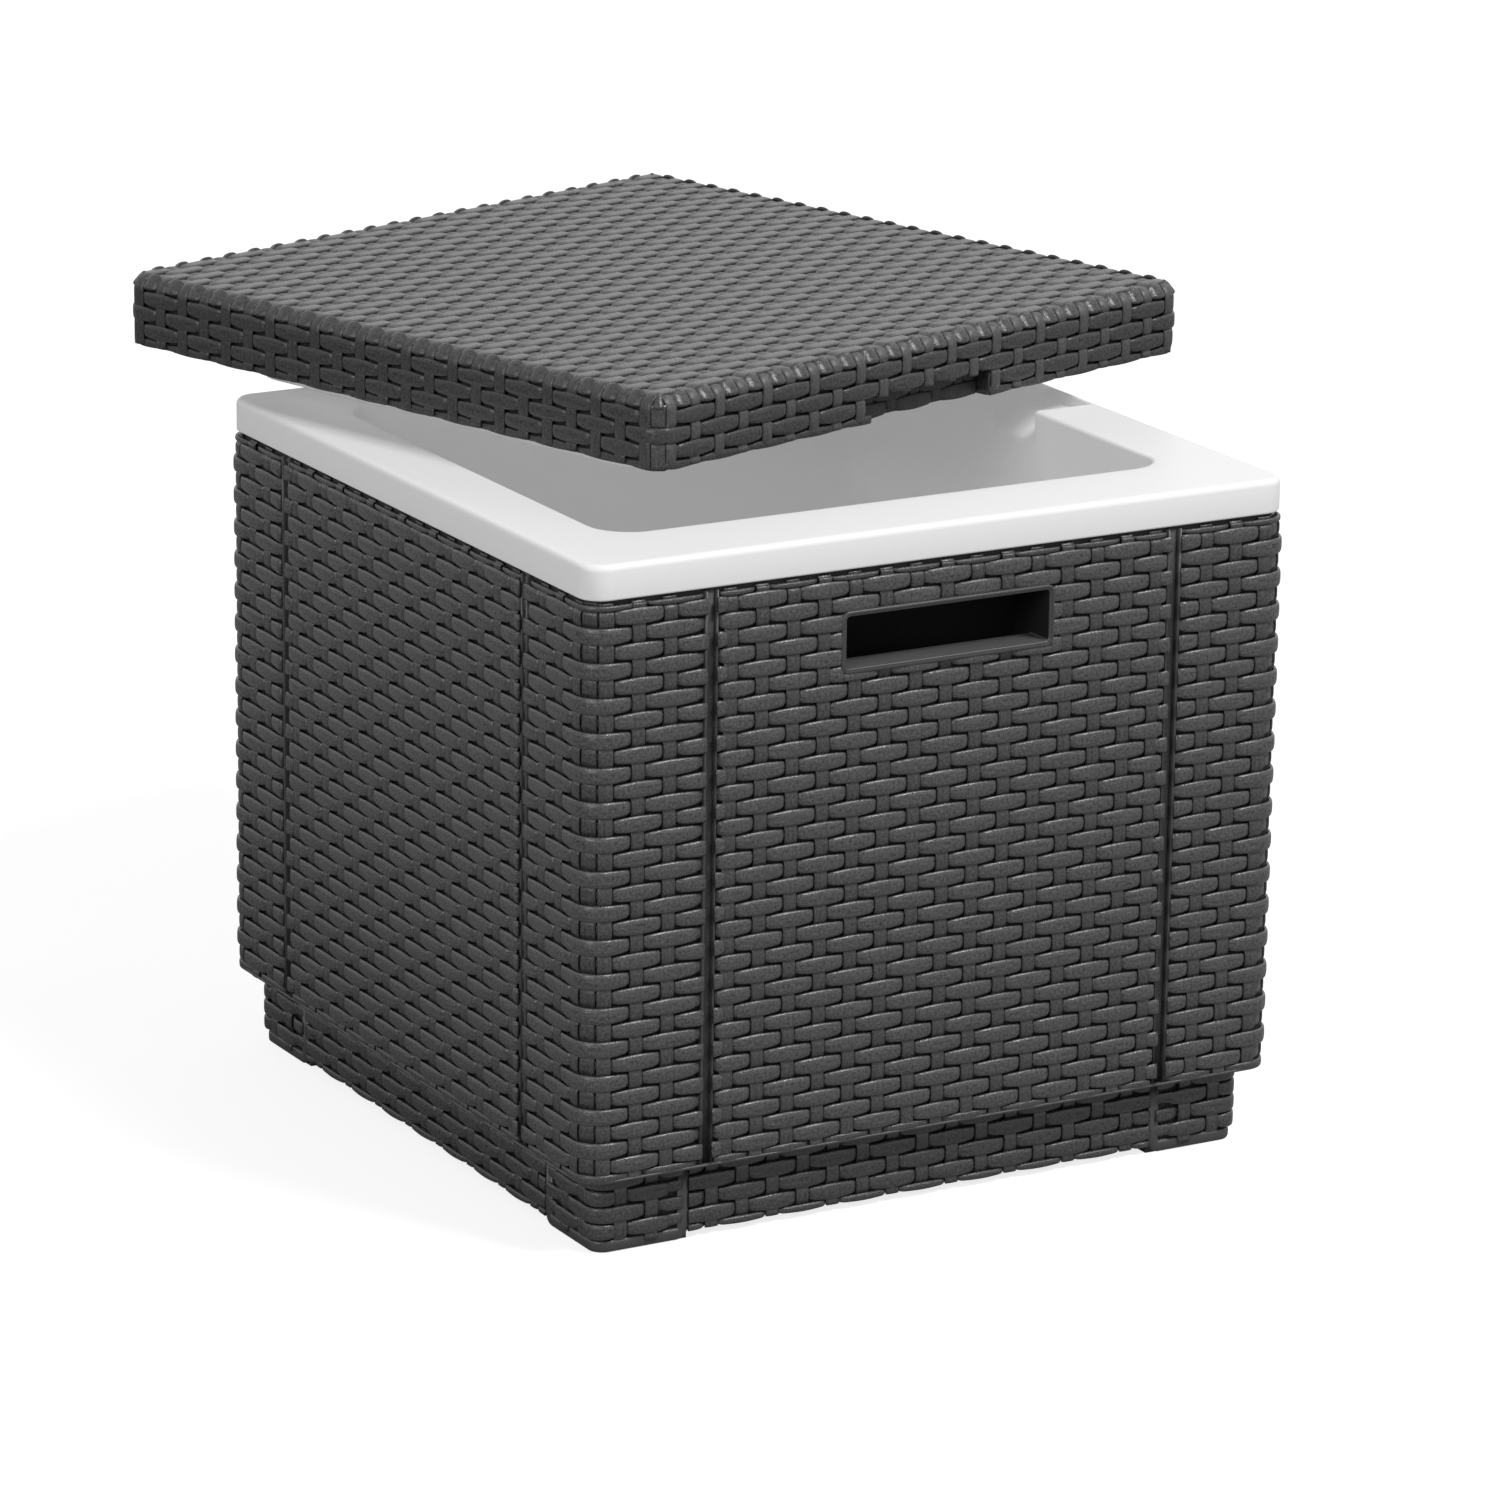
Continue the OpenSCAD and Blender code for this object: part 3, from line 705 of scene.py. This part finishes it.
def lid_rings():
    """Level rows round the lid's sides, a row on the round edge under all stakes, and the notch's ends."""
    half, r = LID_HALF - LID_IN, LID_R - LID_IN
    length = side_length(half, r)
    places = round_sides(np.append(LID_AT, length / 2), length)
    over_odd = np.tile(np.append(STAKE_ODD, 1.0), 4)
    signs = np.append(over_odd, over_odd[0])
    whole = rows(half, r, np.append(places, places[0] + 4 * length), [-signs, signs], RING_Z[:2], 1.0,
                 LID_SWING, True)
    before, after = np.searchsorted(LID_STAKES, NOTCH_STAKES[[0, -1]]) + [0, 1]
    clear = np.append(places[after:], LID_AT[:before] + 4 * length)
    odd = np.append(over_odd[after:], STAKE_ODD[:before])
    knots = np.concatenate([[NOTCH_HALF], clear, [4 * length - NOTCH_HALF]])
    signs = np.array([[-1], [1]]) * np.concatenate([odd[:1], odd, odd[-1:]])
    signs[1, 1:-1][np.isclose(clear % length, length / 2)] = -1
    cut = [rows(half, r, knots, signs[0], RING_Z[2:3], 1.0, LID_SWING),
           rows(LID_HALF - LOW_RING_IN, LID_R - LOW_RING_IN, knots, signs[1], RING_Z[3:], LOW_RING_W,
                LOW_RING_SWING)]
    half, r = LID_HALF - EDGE_RING_IN, LID_R - EDGE_RING_IN
    length = side_length(half, r)
    gaps = round_sides(LID_GAPS, length)
    knots = np.append(round_sides(np.append(LID_AT, length / 2), length), gaps)
    signs = np.append(np.tile(np.append(-np.ones(len(LID_AT)), 0.6), 4), np.ones(len(gaps)))
    order = np.argsort(knots)
    order = np.append(order, order[0])
    knots, signs = knots[order], signs[order]
    knots[-1] += 4 * length
    edge = rows(half, r, knots, signs, [EDGE_RING_Z], EDGE_RING_W, EDGE_RING_SWING, True, RING_ANGLE,
                stake_rise)
    side = np.array([[-1.0], [1.0]])
    y = np.linspace(1.2 * MM, NOTCH_D, 9) - LID_HALF
    path = np.stack(np.broadcast_arrays(side * JAMB_AT, y, JAMB_Z), -1)
    jambs = sweep(path, side[..., None] * [-1, 0, 0], JAMB_W, JAMB_T, square=STRIP_SQUARE)
    return joined([whole, *cut, edge, jambs])


def lid_corners():
    """A stake at each corner of the lid, between the last stakes of two sides."""
    half, r = LID_HALF - LID_CORNER_IN, LID_R - LID_CORNER_IN
    z = np.array([0.4 * MM, *RING_Z[2::-1], 35.5 * MM])
    return stakes(half, r, (np.arange(4) + 0.5) * side_length(half, r), z,
                  np.tile([0.2, 1, -1, 1, 1.0], (4, 1)), LID_CORNER_W, LID_CORNER_SWING)


def notch_weave():
    """Rows and stakes of the finger notch's back wall, which lies in the shade."""
    half, at = LID_HALF - NOTCH_D - 0.4 * MM, NOTCH_STAKES * LID_PITCH
    flat = np.zeros((2, 1))
    level = rows(half, LID_R, framed(NOTCH_HALF - MM, at),
                 np.hstack([flat, row_signs([1, 2], NOTCH_STAKES), flat]), NOTCH_ROW_Z, swing=1.2 * MM)
    z = np.concatenate([[0.4 * MM], NOTCH_ROW_Z, [14.4 * MM]])
    return joined([level, stakes(half, LID_R, at, z, -row_signs(NOTCH_STAKES, np.arange(4)))])


# Smooth pieces: stacks of loops

def mirrored(places):
    """Places on both sides of the middle, from those of one side in millimetres."""
    places = np.array(places) * MM
    return np.append(-places[:0:-1], places)


def round_loop(half_x, half_y, r, z, along, arc=8):
    """One level loop: each side has points at the given places, each corner a quarter circle."""
    angle = quarter(arc + 1)
    sides = []
    for turn in range(4):
        a, b = (half_x, half_y) if turn % 2 == 0 else (half_y, half_x)
        straight = np.stack([along, np.full(len(along), -b)], 1)
        corner = np.stack([a - r + r * np.sin(angle), -b + r - r * np.cos(angle)], 1)
        sides.append(turned(with_z(np.concatenate([straight, corner]), z), turn * math.pi / 2))
    return np.concatenate(sides)


def stack(loops):
    """A closed solid through loops of equal counts, with a flat cap on the first and on the last."""
    co = np.array(loops)
    count, n = co.shape[:2]
    index = np.arange(count * n).reshape(count, n)
    here, above = index[:-1], index[1:]
    quads = np.stack([here, np.roll(here, -1, 1), np.roll(above, -1, 1), above], -1).reshape(-1)
    corners = np.concatenate([quads, index[0, ::-1], index[-1]])
    return co.reshape(-1, 3), corners, np.append(np.full(len(quads) // 4, 4), [n, n])


def tub():
    """Shell from the outside of its floor up, out under the rim, down and up the band, over the rim and
    down inside. Each loop is half X, half Y, corner radius and height. On the right side the loops from
    the rim's underside on ease into a second section, which is the finger recess."""
    inside, band = np.array([168.5, 155, 22]) * MM, np.array([HALF, HALF, CORNER_R])
    shell, hem = inside + TUB_WALL, band - TUB_WALL
    floor, floor_r, chamfer, foot_r, edge_r, lip_r = np.array([85.3, 9, 0.4, 1.2, 3.5, 2.6]) * MM
    recess_half, recess_ease = 21.4 * MM, 0.8 * MM
    along = mirrored([0, 6, 12, 17, 20.2, 20.6, 20.8, 21, 21.2, 21.4, 21.8, 23, 30, 60, 95, 128])
    loops = [(*inside, floor - TUB_WALL), (*shell, floor)]
    loops += [(*(shell + share * (hem - shell)), RIM_TOP - TUB_WALL) for share in (0, 0.27, 0.9, 0.97, 1)]
    loops += [(*hem, WALL_TOP + chamfer), (*(hem + chamfer), WALL_TOP)]
    loops += [(*(band - foot_r * (1 - math.sin(t))), WALL_TOP + foot_r * (1 - math.cos(t)))
              for t in quarter(4)]
    loops += [(*(band - edge_r * (1 - math.cos(t))), RIM_TOP - edge_r * (1 - math.sin(t)))
              for t in quarter(8)]
    start, end = band - edge_r, inside + lip_r
    loops += [(*(start + share * (end - start)), RIM_TOP)
              for share in (0.02, 0.045, 0.075, 0.11, 0.3, 0.5, 0.7, 0.76, 0.88)]
    loops += [(*(end - lip_r * math.sin(t)), RIM_TOP - lip_r * (1 - math.cos(t))) for t in quarter(6)]
    loops += [(*inside, z * MM) for z in (361, 354, 344, 300, 200)]
    loops += [(*(inside - floor_r * (1 - math.cos(t))), floor + floor_r * (1 - math.sin(t)))
              for t in quarter(6)]
    co = np.array([round_loop(*loop, along) for loop in loops])
    underside = np.array([(171.5, 352.5), (181.1, 362.6), (203, 363), (205.4, 363.6)]) * MM
    floor_and_slope = np.array([(205.8, 371.5), (205.3, 369), (204.8, 366.7), (204, 366), (197, 366),
                                (190, 366), (183, 366), (181.9, 365.7), (180.9, 364.9), (179.3, 363.3),
                                (177.4, 361.4), (175.5, 359.5), (173.6, 357.6), (171.9, 355.8),
                                (170.5, 354), (169.4, 351.8), (168.7, 349)]) * MM
    mask = np.clip((recess_half - np.abs(co[..., 1])) / recess_ease, 0, 1)
    mask = (mask * mask * (3 - 2 * mask) * (co[..., 0] > 0))[..., None]
    for first, section in ((2, underside), (21, floor_and_slope)):
        last = first + len(section)
        co[first:last, :, ::2] += mask[first:last] * (section[:, None] - co[first:last, :, ::2])
    return stack(co)


def lid_liner():
    """Plate and hollow plug under the lid, with room for the finger notch at the front."""
    plug = np.array([167, 153.5, 20.5]) * MM
    plate, plate_r, low, high, round_r, step, chamfer = np.array([203.3, 7.8, 2, 5, 5, 0.6, 0.5]) * MM
    room_half, room_y = 54.2 * MM, -191.2 * MM
    drop = PLUG_LOW.z - LID_LOW.z
    loops = [(*(plug - round_r * (1 - math.sin(t))), drop + round_r * (1 - math.cos(t)))
             for t in quarter(7)]
    loops += [(*plug, low - step), (plug[0] + step, plug[1] + step, plug[2], low),
              (plate - chamfer, plate - chamfer, plate_r, low), (plate, plate, plate_r, low + chamfer),
              (plate, plate, plate_r, high), (*(plug - TUB_WALL), high),
              (*(plug - TUB_WALL), drop + TUB_WALL)]
    along = mirrored([0, 27, 54.1, 54.3, 90, 125])
    co = np.array([round_loop(*loop, along) for loop in loops])
    co[(np.abs(co[..., 0]) < room_half) & (co[..., 1] < room_y), 1] = room_y
    co, corners, sizes = stack(co)
    return lid_place(co), corners, sizes


def hand_cup():
    """Cup in the front wall: loops that stand upright, from its back over the bezel and in again. A loop
    is its half width, lowest and highest height, corner radius and how far in front of the middle."""
    mouth, wall, drop, bead, step, bezel_r = np.array([61, 1.8, 5, 0.8, 0.45, 4.6]) * MM
    low, high = BEZEL_LOW + 3 * MM, BEZEL_TOP - 3 * MM
    back, sill, face = HALF - 34 * MM, HALF - SILL_IN, HALF + 2.3 * MM
    loops = [(mouth + wall, low - drop - wall, high + wall, MM, back - wall),
             (mouth + wall, low - drop - wall, high + wall, MM, sill),
             (mouth + wall, low - wall, high + wall, MM, sill + 0.01 * MM),
             (mouth + wall, low - wall, high + wall, MM, HALF - 3.2 * MM),
             (BEZEL_HALF, BEZEL_LOW, BEZEL_TOP, bezel_r, HALF - 3 * MM)]
    frame_steps = [(bead * (1 - math.cos(t)), bead * (1 - math.sin(t))) for t in quarter(4)]
    frame_steps += [(1.35 * MM, 0), (1.6 * MM, step), (1.9 * MM, step)]
    loops += [(BEZEL_HALF - inset, BEZEL_LOW + inset, BEZEL_TOP - inset, bezel_r - inset, face - fall)
              for inset, fall in frame_steps]
    for t in quarter(4):
        inset = bead * (1 - math.sin(t))
        loops.append((mouth + inset, low - inset, high + inset, 1.9 * MM + inset,
                      face - step - bead * (1 - math.cos(t))))
    loops += [(mouth, low, high, 1.5 * MM, sill + wall + MM),
              (mouth, low - 0.3 * MM, high, 1.2 * MM, sill + wall),
              (mouth, low - drop, high, 1.2 * MM, sill + wall - 0.3 * MM),
              (mouth, low - drop, high, 1.2 * MM, back)]
    co = []
    for half, bottom, top, r, depth in loops:
        loop = round_loop(half, (top - bottom) / 2, r, depth, mirrored([0, 3, 7]), 5)
        co.append(np.stack([loop[:, 0], -loop[:, 2], (top + bottom) / 2 + loop[:, 1]], 1))
    return stack(co)


# Materials

# Noise cells along a metre of strand, and across one strand
STREAK_CELLS = (70, 17)
GRAIN_CELLS = (640, 8)


class Value:
    """A shader socket that takes plain arithmetic."""

    def __init__(self, tree, socket):
        self.tree, self.socket = tree, socket

    def maths(self, operation, *values):
        return add_node(self.tree, "ShaderNodeMath", {"operation": operation}, dict(enumerate(values)))

    def __add__(self, other):
        return self.maths("ADD", self, other)

    def __sub__(self, other):
        return self.maths("SUBTRACT", self, other)

    def __rsub__(self, other):
        return self.maths("SUBTRACT", other, self)

    def __mul__(self, other):
        return self.maths("MULTIPLY", self, other)

    __radd__, __rmul__ = __add__, __mul__


def add_node(tree, kind, settings, inputs, output=0):
    """A node with its settings, then its inputs by name or number, as values or links."""
    made = tree.nodes.new(kind)
    for key, value in settings.items():
        setattr(made, key, value)
    for key, value in inputs.items():
        if isinstance(value, Value):
            tree.links.new(value.socket, made.inputs[key])
        else:
            made.inputs[key].default_value = value
    return Value(tree, made.outputs[output])


def grey(value):
    return (value, value, value, 1)


def new_material(name, **constants):
    """A material with a Principled BSDF: its tree and the shader."""
    material = bpy.data.materials.new(name)
    material.use_nodes = True
    tree = material.node_tree
    shader = tree.nodes["Principled BSDF"]
    for key, value in constants.items():
        shader.inputs[key.replace("_", " ")].default_value = value
    return material, tree, shader


def feed(tree, shader, **links):
    for key, value in links.items():
        tree.links.new(value.socket, shader.inputs[key.replace("_", " ")])


def noise(tree, at, scale, detail, roughness):
    return add_node(tree, "ShaderNodeTexNoise", {}, {"Vector": at, "Scale": scale, "Detail": detail,
                                                    "Roughness": roughness})


def strand_material(name, tone, roughness=0.29, specular=0.5):
    """Satin plastic strand: grain and fine streaks along it, from noise stretched along the strand's own
    UV, shade it and bump it, and the grain also varies its roughness."""
    material, tree, shader = new_material(name, Roughness=roughness, Specular_IOR_Level=specular)
    uv = add_node(tree, "ShaderNodeUVMap", {"uv_map": "strand"}, {})
    along, across = (add_node(tree, "ShaderNodeSeparateXYZ", {}, {0: uv}, axis) for axis in (0, 1))

    def stretched(cells, layer, roughness):
        place = {0: along * cells[0], 1: across * cells[1], 2: layer}
        return noise(tree, add_node(tree, "ShaderNodeCombineXYZ", {}, place), 1.0, 2.0, roughness)

    streak = stretched(STREAK_CELLS, 0, 0.6)
    grain = stretched(GRAIN_CELLS, 7, 0.65)
    shade = (streak - 0.5) * 1.1 + (grain - 0.5) * 2.6 + 1
    height = streak * 0.7 + grain * 1.1
    bump = add_node(tree, "ShaderNodeBump", {}, {"Strength": 0.3, "Distance": 0.8 * MM, "Height": height})
    feed(tree, shader, Base_Color=shade * tone, Normal=bump, Roughness=(grain - 0.5) * 0.3 + roughness)
    return material


def plain_material(name, tone, roughness, grain, grain_scale, bump_strength, **constants):
    """Moulded plastic, foam or metal: a grey or coloured tone with a little grain in Object coordinates."""
    material, tree, shader = new_material(name, Roughness=roughness, **constants)
    at = add_node(tree, "ShaderNodeTexCoord", {}, {}, "Object")
    fine = noise(tree, at, grain_scale, 3.0, 0.6)
    shade = (fine - 0.5) * grain + 1
    channels = {i: shade * part for i, part in enumerate(np.broadcast_to(tone, 3))}
    mixed = add_node(tree, "ShaderNodeCombineColor", {}, channels)
    bump = add_node(tree, "ShaderNodeBump", {}, {"Strength": bump_strength, "Distance": 0.4 * MM,
                                                "Height": fine})
    feed(tree, shader, Base_Color=mixed, Normal=bump)
    return material


ROW_PLASTIC = strand_material("woven_rows", 0.06)
# Foot and skirt strands: a darker copy of the row plastic, painted shade under the overhanging walls
PLINTH_PAINTED_SHADE_PLASTIC = strand_material("woven_plinth_painted_shade", 0.047)
# Stakes: a darker copy of the row plastic, painted shade for their lying deeper than the rows
STAKE_PAINTED_SHADE_PLASTIC = strand_material("woven_stakes_painted_shade", 0.046)
LID_PLASTIC = strand_material("woven_lid", 0.038, 0.29, 0.38)
# Lid cross strands: a lighter copy of the lid plastic, painted light on their shaded patches between the
# rows
CROSS_PAINTED_LIGHT_PLASTIC = strand_material("woven_cross_painted_light", 0.056, 0.4, 0.42)
# Near-black strands for the groove floors and the lid notch's back wall: painted shade in those recesses
PAINTED_SHADE_PLASTIC = strand_material("woven_painted_shade", 0.019, 0.6)
# Near-black backing, darker than any strand: painted shade in the gaps between the strands
CORE_PAINTED_SHADE_PLASTIC = plain_material("woven_backing_painted_shade", 0.024, 0.7, 0.2, 300, 0.2)
BAND_PLASTIC = plain_material("woven_border", 0.046, 0.38, 0.25, 700, 0.35)
CUP_PLASTIC = plain_material("cup_plastic", 0.04, 0.42, 0.2, 900, 0.3)
# Inside of the hand cup: near-black, painted shade in its deep hollow
CUP_INSIDE_PAINTED_SHADE = plain_material("cup_inside_painted_shade", 0.009, 0.8, 0.2, 900, 0.2, Specular_IOR_Level=0.15)
# Sill of the hand cup: a lighter copy of the cup plastic, painted light on its floor
CUP_SILL_PAINTED_LIGHT = plain_material("cup_sill_painted_light", 0.08, 0.42, 0.2, 900, 0.3)
# White plastic with a faint glow of its own: painted light on the tub and plug
WHITE_PLASTIC_PAINTED_GLOW = plain_material("white_plastic", 0.69, 0.38, 0.02, 250, 0.06, Specular_IOR_Level=0.2,
                               Emission_Color=grey(1), Emission_Strength=0.088)
FOAM = plain_material("insulating_foam", (0.75, 0.7, 0.55), 0.9, 0.25, 600, 0.5)
STEEL = plain_material("screw_steel", (0.55, 0.55, 0.56), 0.32, 0.15, 900, 0.15, Metallic=1.0)

# Pieces

SIDES = ("front", "right", "rear", "left")
CORNERS = ("front_right", "rear_right", "rear_left", "front_left")


def dress(name, node, side, parts, *materials):
    """The woven parts of a node, built on the front and turned to their side."""
    for label, part, material in zip(("rows", "stakes", "edges", "grooves"), parts, materials):
        co, loops, sizes, uv = along_side(part, side)
        new_piece(f"{name}_{label}", co, loops, sizes, "box", WEAVE, node, [material], uv)


panels = {cup: wall_panel(cup) for cup in (True, False)}
post_parts = corner_post()
foot_parts = foot_weave()
skirt_parts = skirt_weave()
for side in range(4):
    wall, corner = SIDES[side], CORNERS[side]
    # Groove floors are painted shade: near-black on the front and rear, the lighter stake tone on the sides
    groove_floor_painted_shade = (PAINTED_SHADE_PLASTIC, STAKE_PAINTED_SHADE_PLASTIC)[side % 2]
    dress(f"{wall}_panel", f"panel_{wall}", side, panels[side % 2 == 0], ROW_PLASTIC, STAKE_PAINTED_SHADE_PLASTIC,
          BAND_PLASTIC, groove_floor_painted_shade)
    dress(f"{wall}_skirt", "base_tray", side, skirt_parts, PLINTH_PAINTED_SHADE_PLASTIC, STAKE_PAINTED_SHADE_PLASTIC)
    core(f"{wall}_panel_core", f"panel_{wall}", wall_draw_in(HALF, CORNER_R))
    dress(f"{corner}_post", f"corner_post_{corner}", side, post_parts, ROW_PLASTIC, STAKE_PAINTED_SHADE_PLASTIC,
          BAND_PLASTIC)
    dress(f"{corner}_foot", f"foot_{corner}", side, foot_parts, PLINTH_PAINTED_SHADE_PLASTIC, STAKE_PAINTED_SHADE_PLASTIC, BAND_PLASTIC)
    core(f"{corner}_post_core", f"corner_post_{corner}", wall_draw_in(HALF, CORNER_R))
    core(f"{corner}_foot_core", f"foot_{corner}", wall_draw_in(FOOT_HALF, FOOT_R))
core("base_core", "base_tray", wall_draw_in(SKIRT_HALF, 0.001 * MM))

# Cross strands take their painted-light copy, the notch's wall painted-shade strands, corner stakes the
# darker stake copy
for name, (co, loops, sizes, uv), material in zip(
        ("lid_rows_long", "lid_rows_short", "lid_cross", "lid_rings", "lid_corners", "lid_notch"),
        (*lid_rows(), lid_cross(), lid_rings(), lid_corners(), notch_weave()),
        (LID_PLASTIC, LID_PLASTIC, CROSS_PAINTED_LIGHT_PLASTIC, LID_PLASTIC, STAKE_PAINTED_SHADE_PLASTIC, PAINTED_SHADE_PLASTIC)):
    new_piece(name, lid_place(co), loops, sizes, "lid", WEAVE, "lid_shell", [material], uv)
core("lid_core", "lid_shell", lid_draw_in, "lid")

new_piece("white_tub", *tub(), "box", "white_plastic", "tub", [WHITE_PLASTIC_PAINTED_GLOW], sharp=35)
new_piece("white_plug", *lid_liner(), "lid", "white_plastic", "lid_liner", [WHITE_PLASTIC_PAINTED_GLOW], sharp=50)
co, loops, sizes = hand_cup()
for side, place in ((0, "front"), (2, "rear")):
    cup = new_piece(f"{place}_cup", turned(co, side * math.pi / 2), loops, sizes, "box",
                    "smooth_dark_plastic", f"hand_cup_{place}", [CUP_PLASTIC, CUP_INSIDE_PAINTED_SHADE, CUP_SILL_PAINTED_LIGHT],
                    sharp=40)
    # Faces inside the cup take the painted-shade material, the sill's upward faces the painted-light copy
    centre = np.array([(abs(face.center.y), face.normal.z) for face in cup.data.polygons])
    sill = (centre[:, 0] > HALF - SILL_IN) & (centre[:, 1] > 0.7)
    inside = centre[:, 0] < HALF - 2 * MM
    cup.data.polygons.foreach_set("material_index", np.where(inside, 1 + sill, 0).astype(np.int32))

for name, node in NODES.items():
    for words, material in (("foam", FOAM), ("screws", STEEL)):
        if words in name:
            node.data.materials.clear()
            node.data.materials.append(material)

# Camera, lamps and floor

CAMERA_AT = (-1.7915, -3.1433, 1.2511)
AZIMUTH, ELEVATION, ROLL = np.radians([-29.73, 16.27, 0.78])
FLOOR_HALF = 40
AMBIENT = 0.3


def stand(made, place, back, roll=0.0):
    """Puts a camera or lamp at a place, with its back to a direction and rolled about its own axis."""
    back = np.array(back) / np.linalg.norm(back)
    right = np.cross(UP, back)
    right /= np.linalg.norm(right)
    up = np.cross(back, right)
    c, s = math.cos(roll), math.sin(roll)
    x, y = c * right + s * up, c * up - s * right
    made.matrix_world = Matrix([[x[i], y[i], back[i], place[i]] for i in range(3)] + [[0, 0, 0, 1]])


def area_lamp(name, place, target, size, power):
    lamp = add_object(name, bpy.data.lights.new(name, "AREA"))
    lamp.data.size = size
    lamp.data.energy = power
    stand(lamp, place, np.subtract(place, target))


def seen_by(tree, kind):
    """1 where the ray that meets the shader is of a kind, else 0."""
    return add_node(tree, "ShaderNodeLightPath", {}, {}, f"Is {kind} Ray")


camera = add_object("camera", bpy.data.cameras.new("camera"))
flat = math.cos(ELEVATION)
stand(camera, CAMERA_AT, (math.sin(AZIMUTH) * flat, -math.cos(AZIMUTH) * flat, math.sin(ELEVATION)), ROLL)
camera.data.lens = 165.49
camera.data.sensor_width = 36
bpy.context.scene.camera = camera

area_lamp("key", (1.16, -2.17, 3.35), (0, 0, 0.2), 1.1, 127)
area_lamp("left", (-3.2, -1.7, 1.8), (0, 0, 0.25), 1.6, 48)
area_lamp("edge", (2.2, 0.6, 2.5), (0, 0, 0.42), 0.4, 5.5)

# The white surroundings show in full to the camera and in gloss, and light the object more faintly
world = bpy.data.worlds.new("studio")
world.use_nodes = True
bpy.context.scene.world = world
tree = world.node_tree
background = tree.nodes["Background"]
background.inputs["Color"].default_value = grey(1)
camera_ray = seen_by(tree, "Camera")
seen = camera_ray.maths("MAXIMUM", camera_ray, seen_by(tree, "Glossy"))
seen = seen.maths("MAXIMUM", seen, seen_by(tree, "Transmission"))
feed(tree, background, Strength=seen * (1 - AMBIENT) + AMBIENT)

floor_mesh = bpy.data.meshes.new("floor")
corners = [(x * FLOOR_HALF, y * FLOOR_HALF, 0) for x, y in ((-1, -1), (1, -1), (1, 1), (-1, 1))]
floor_mesh.from_pydata(corners, [], [(0, 1, 2, 3)])
floor = add_object("floor", floor_mesh)
floor_paint, tree, shader = new_material("floor_paint", Base_Color=grey(0.35), Roughness=0.9,
                                         Emission_Strength=1.0)
feed(tree, shader, Emission_Color=seen_by(tree, "Camera") * 0.8)
floor_mesh.materials.append(floor_paint)

bpy.context.scene.view_settings.view_transform = "Standard"
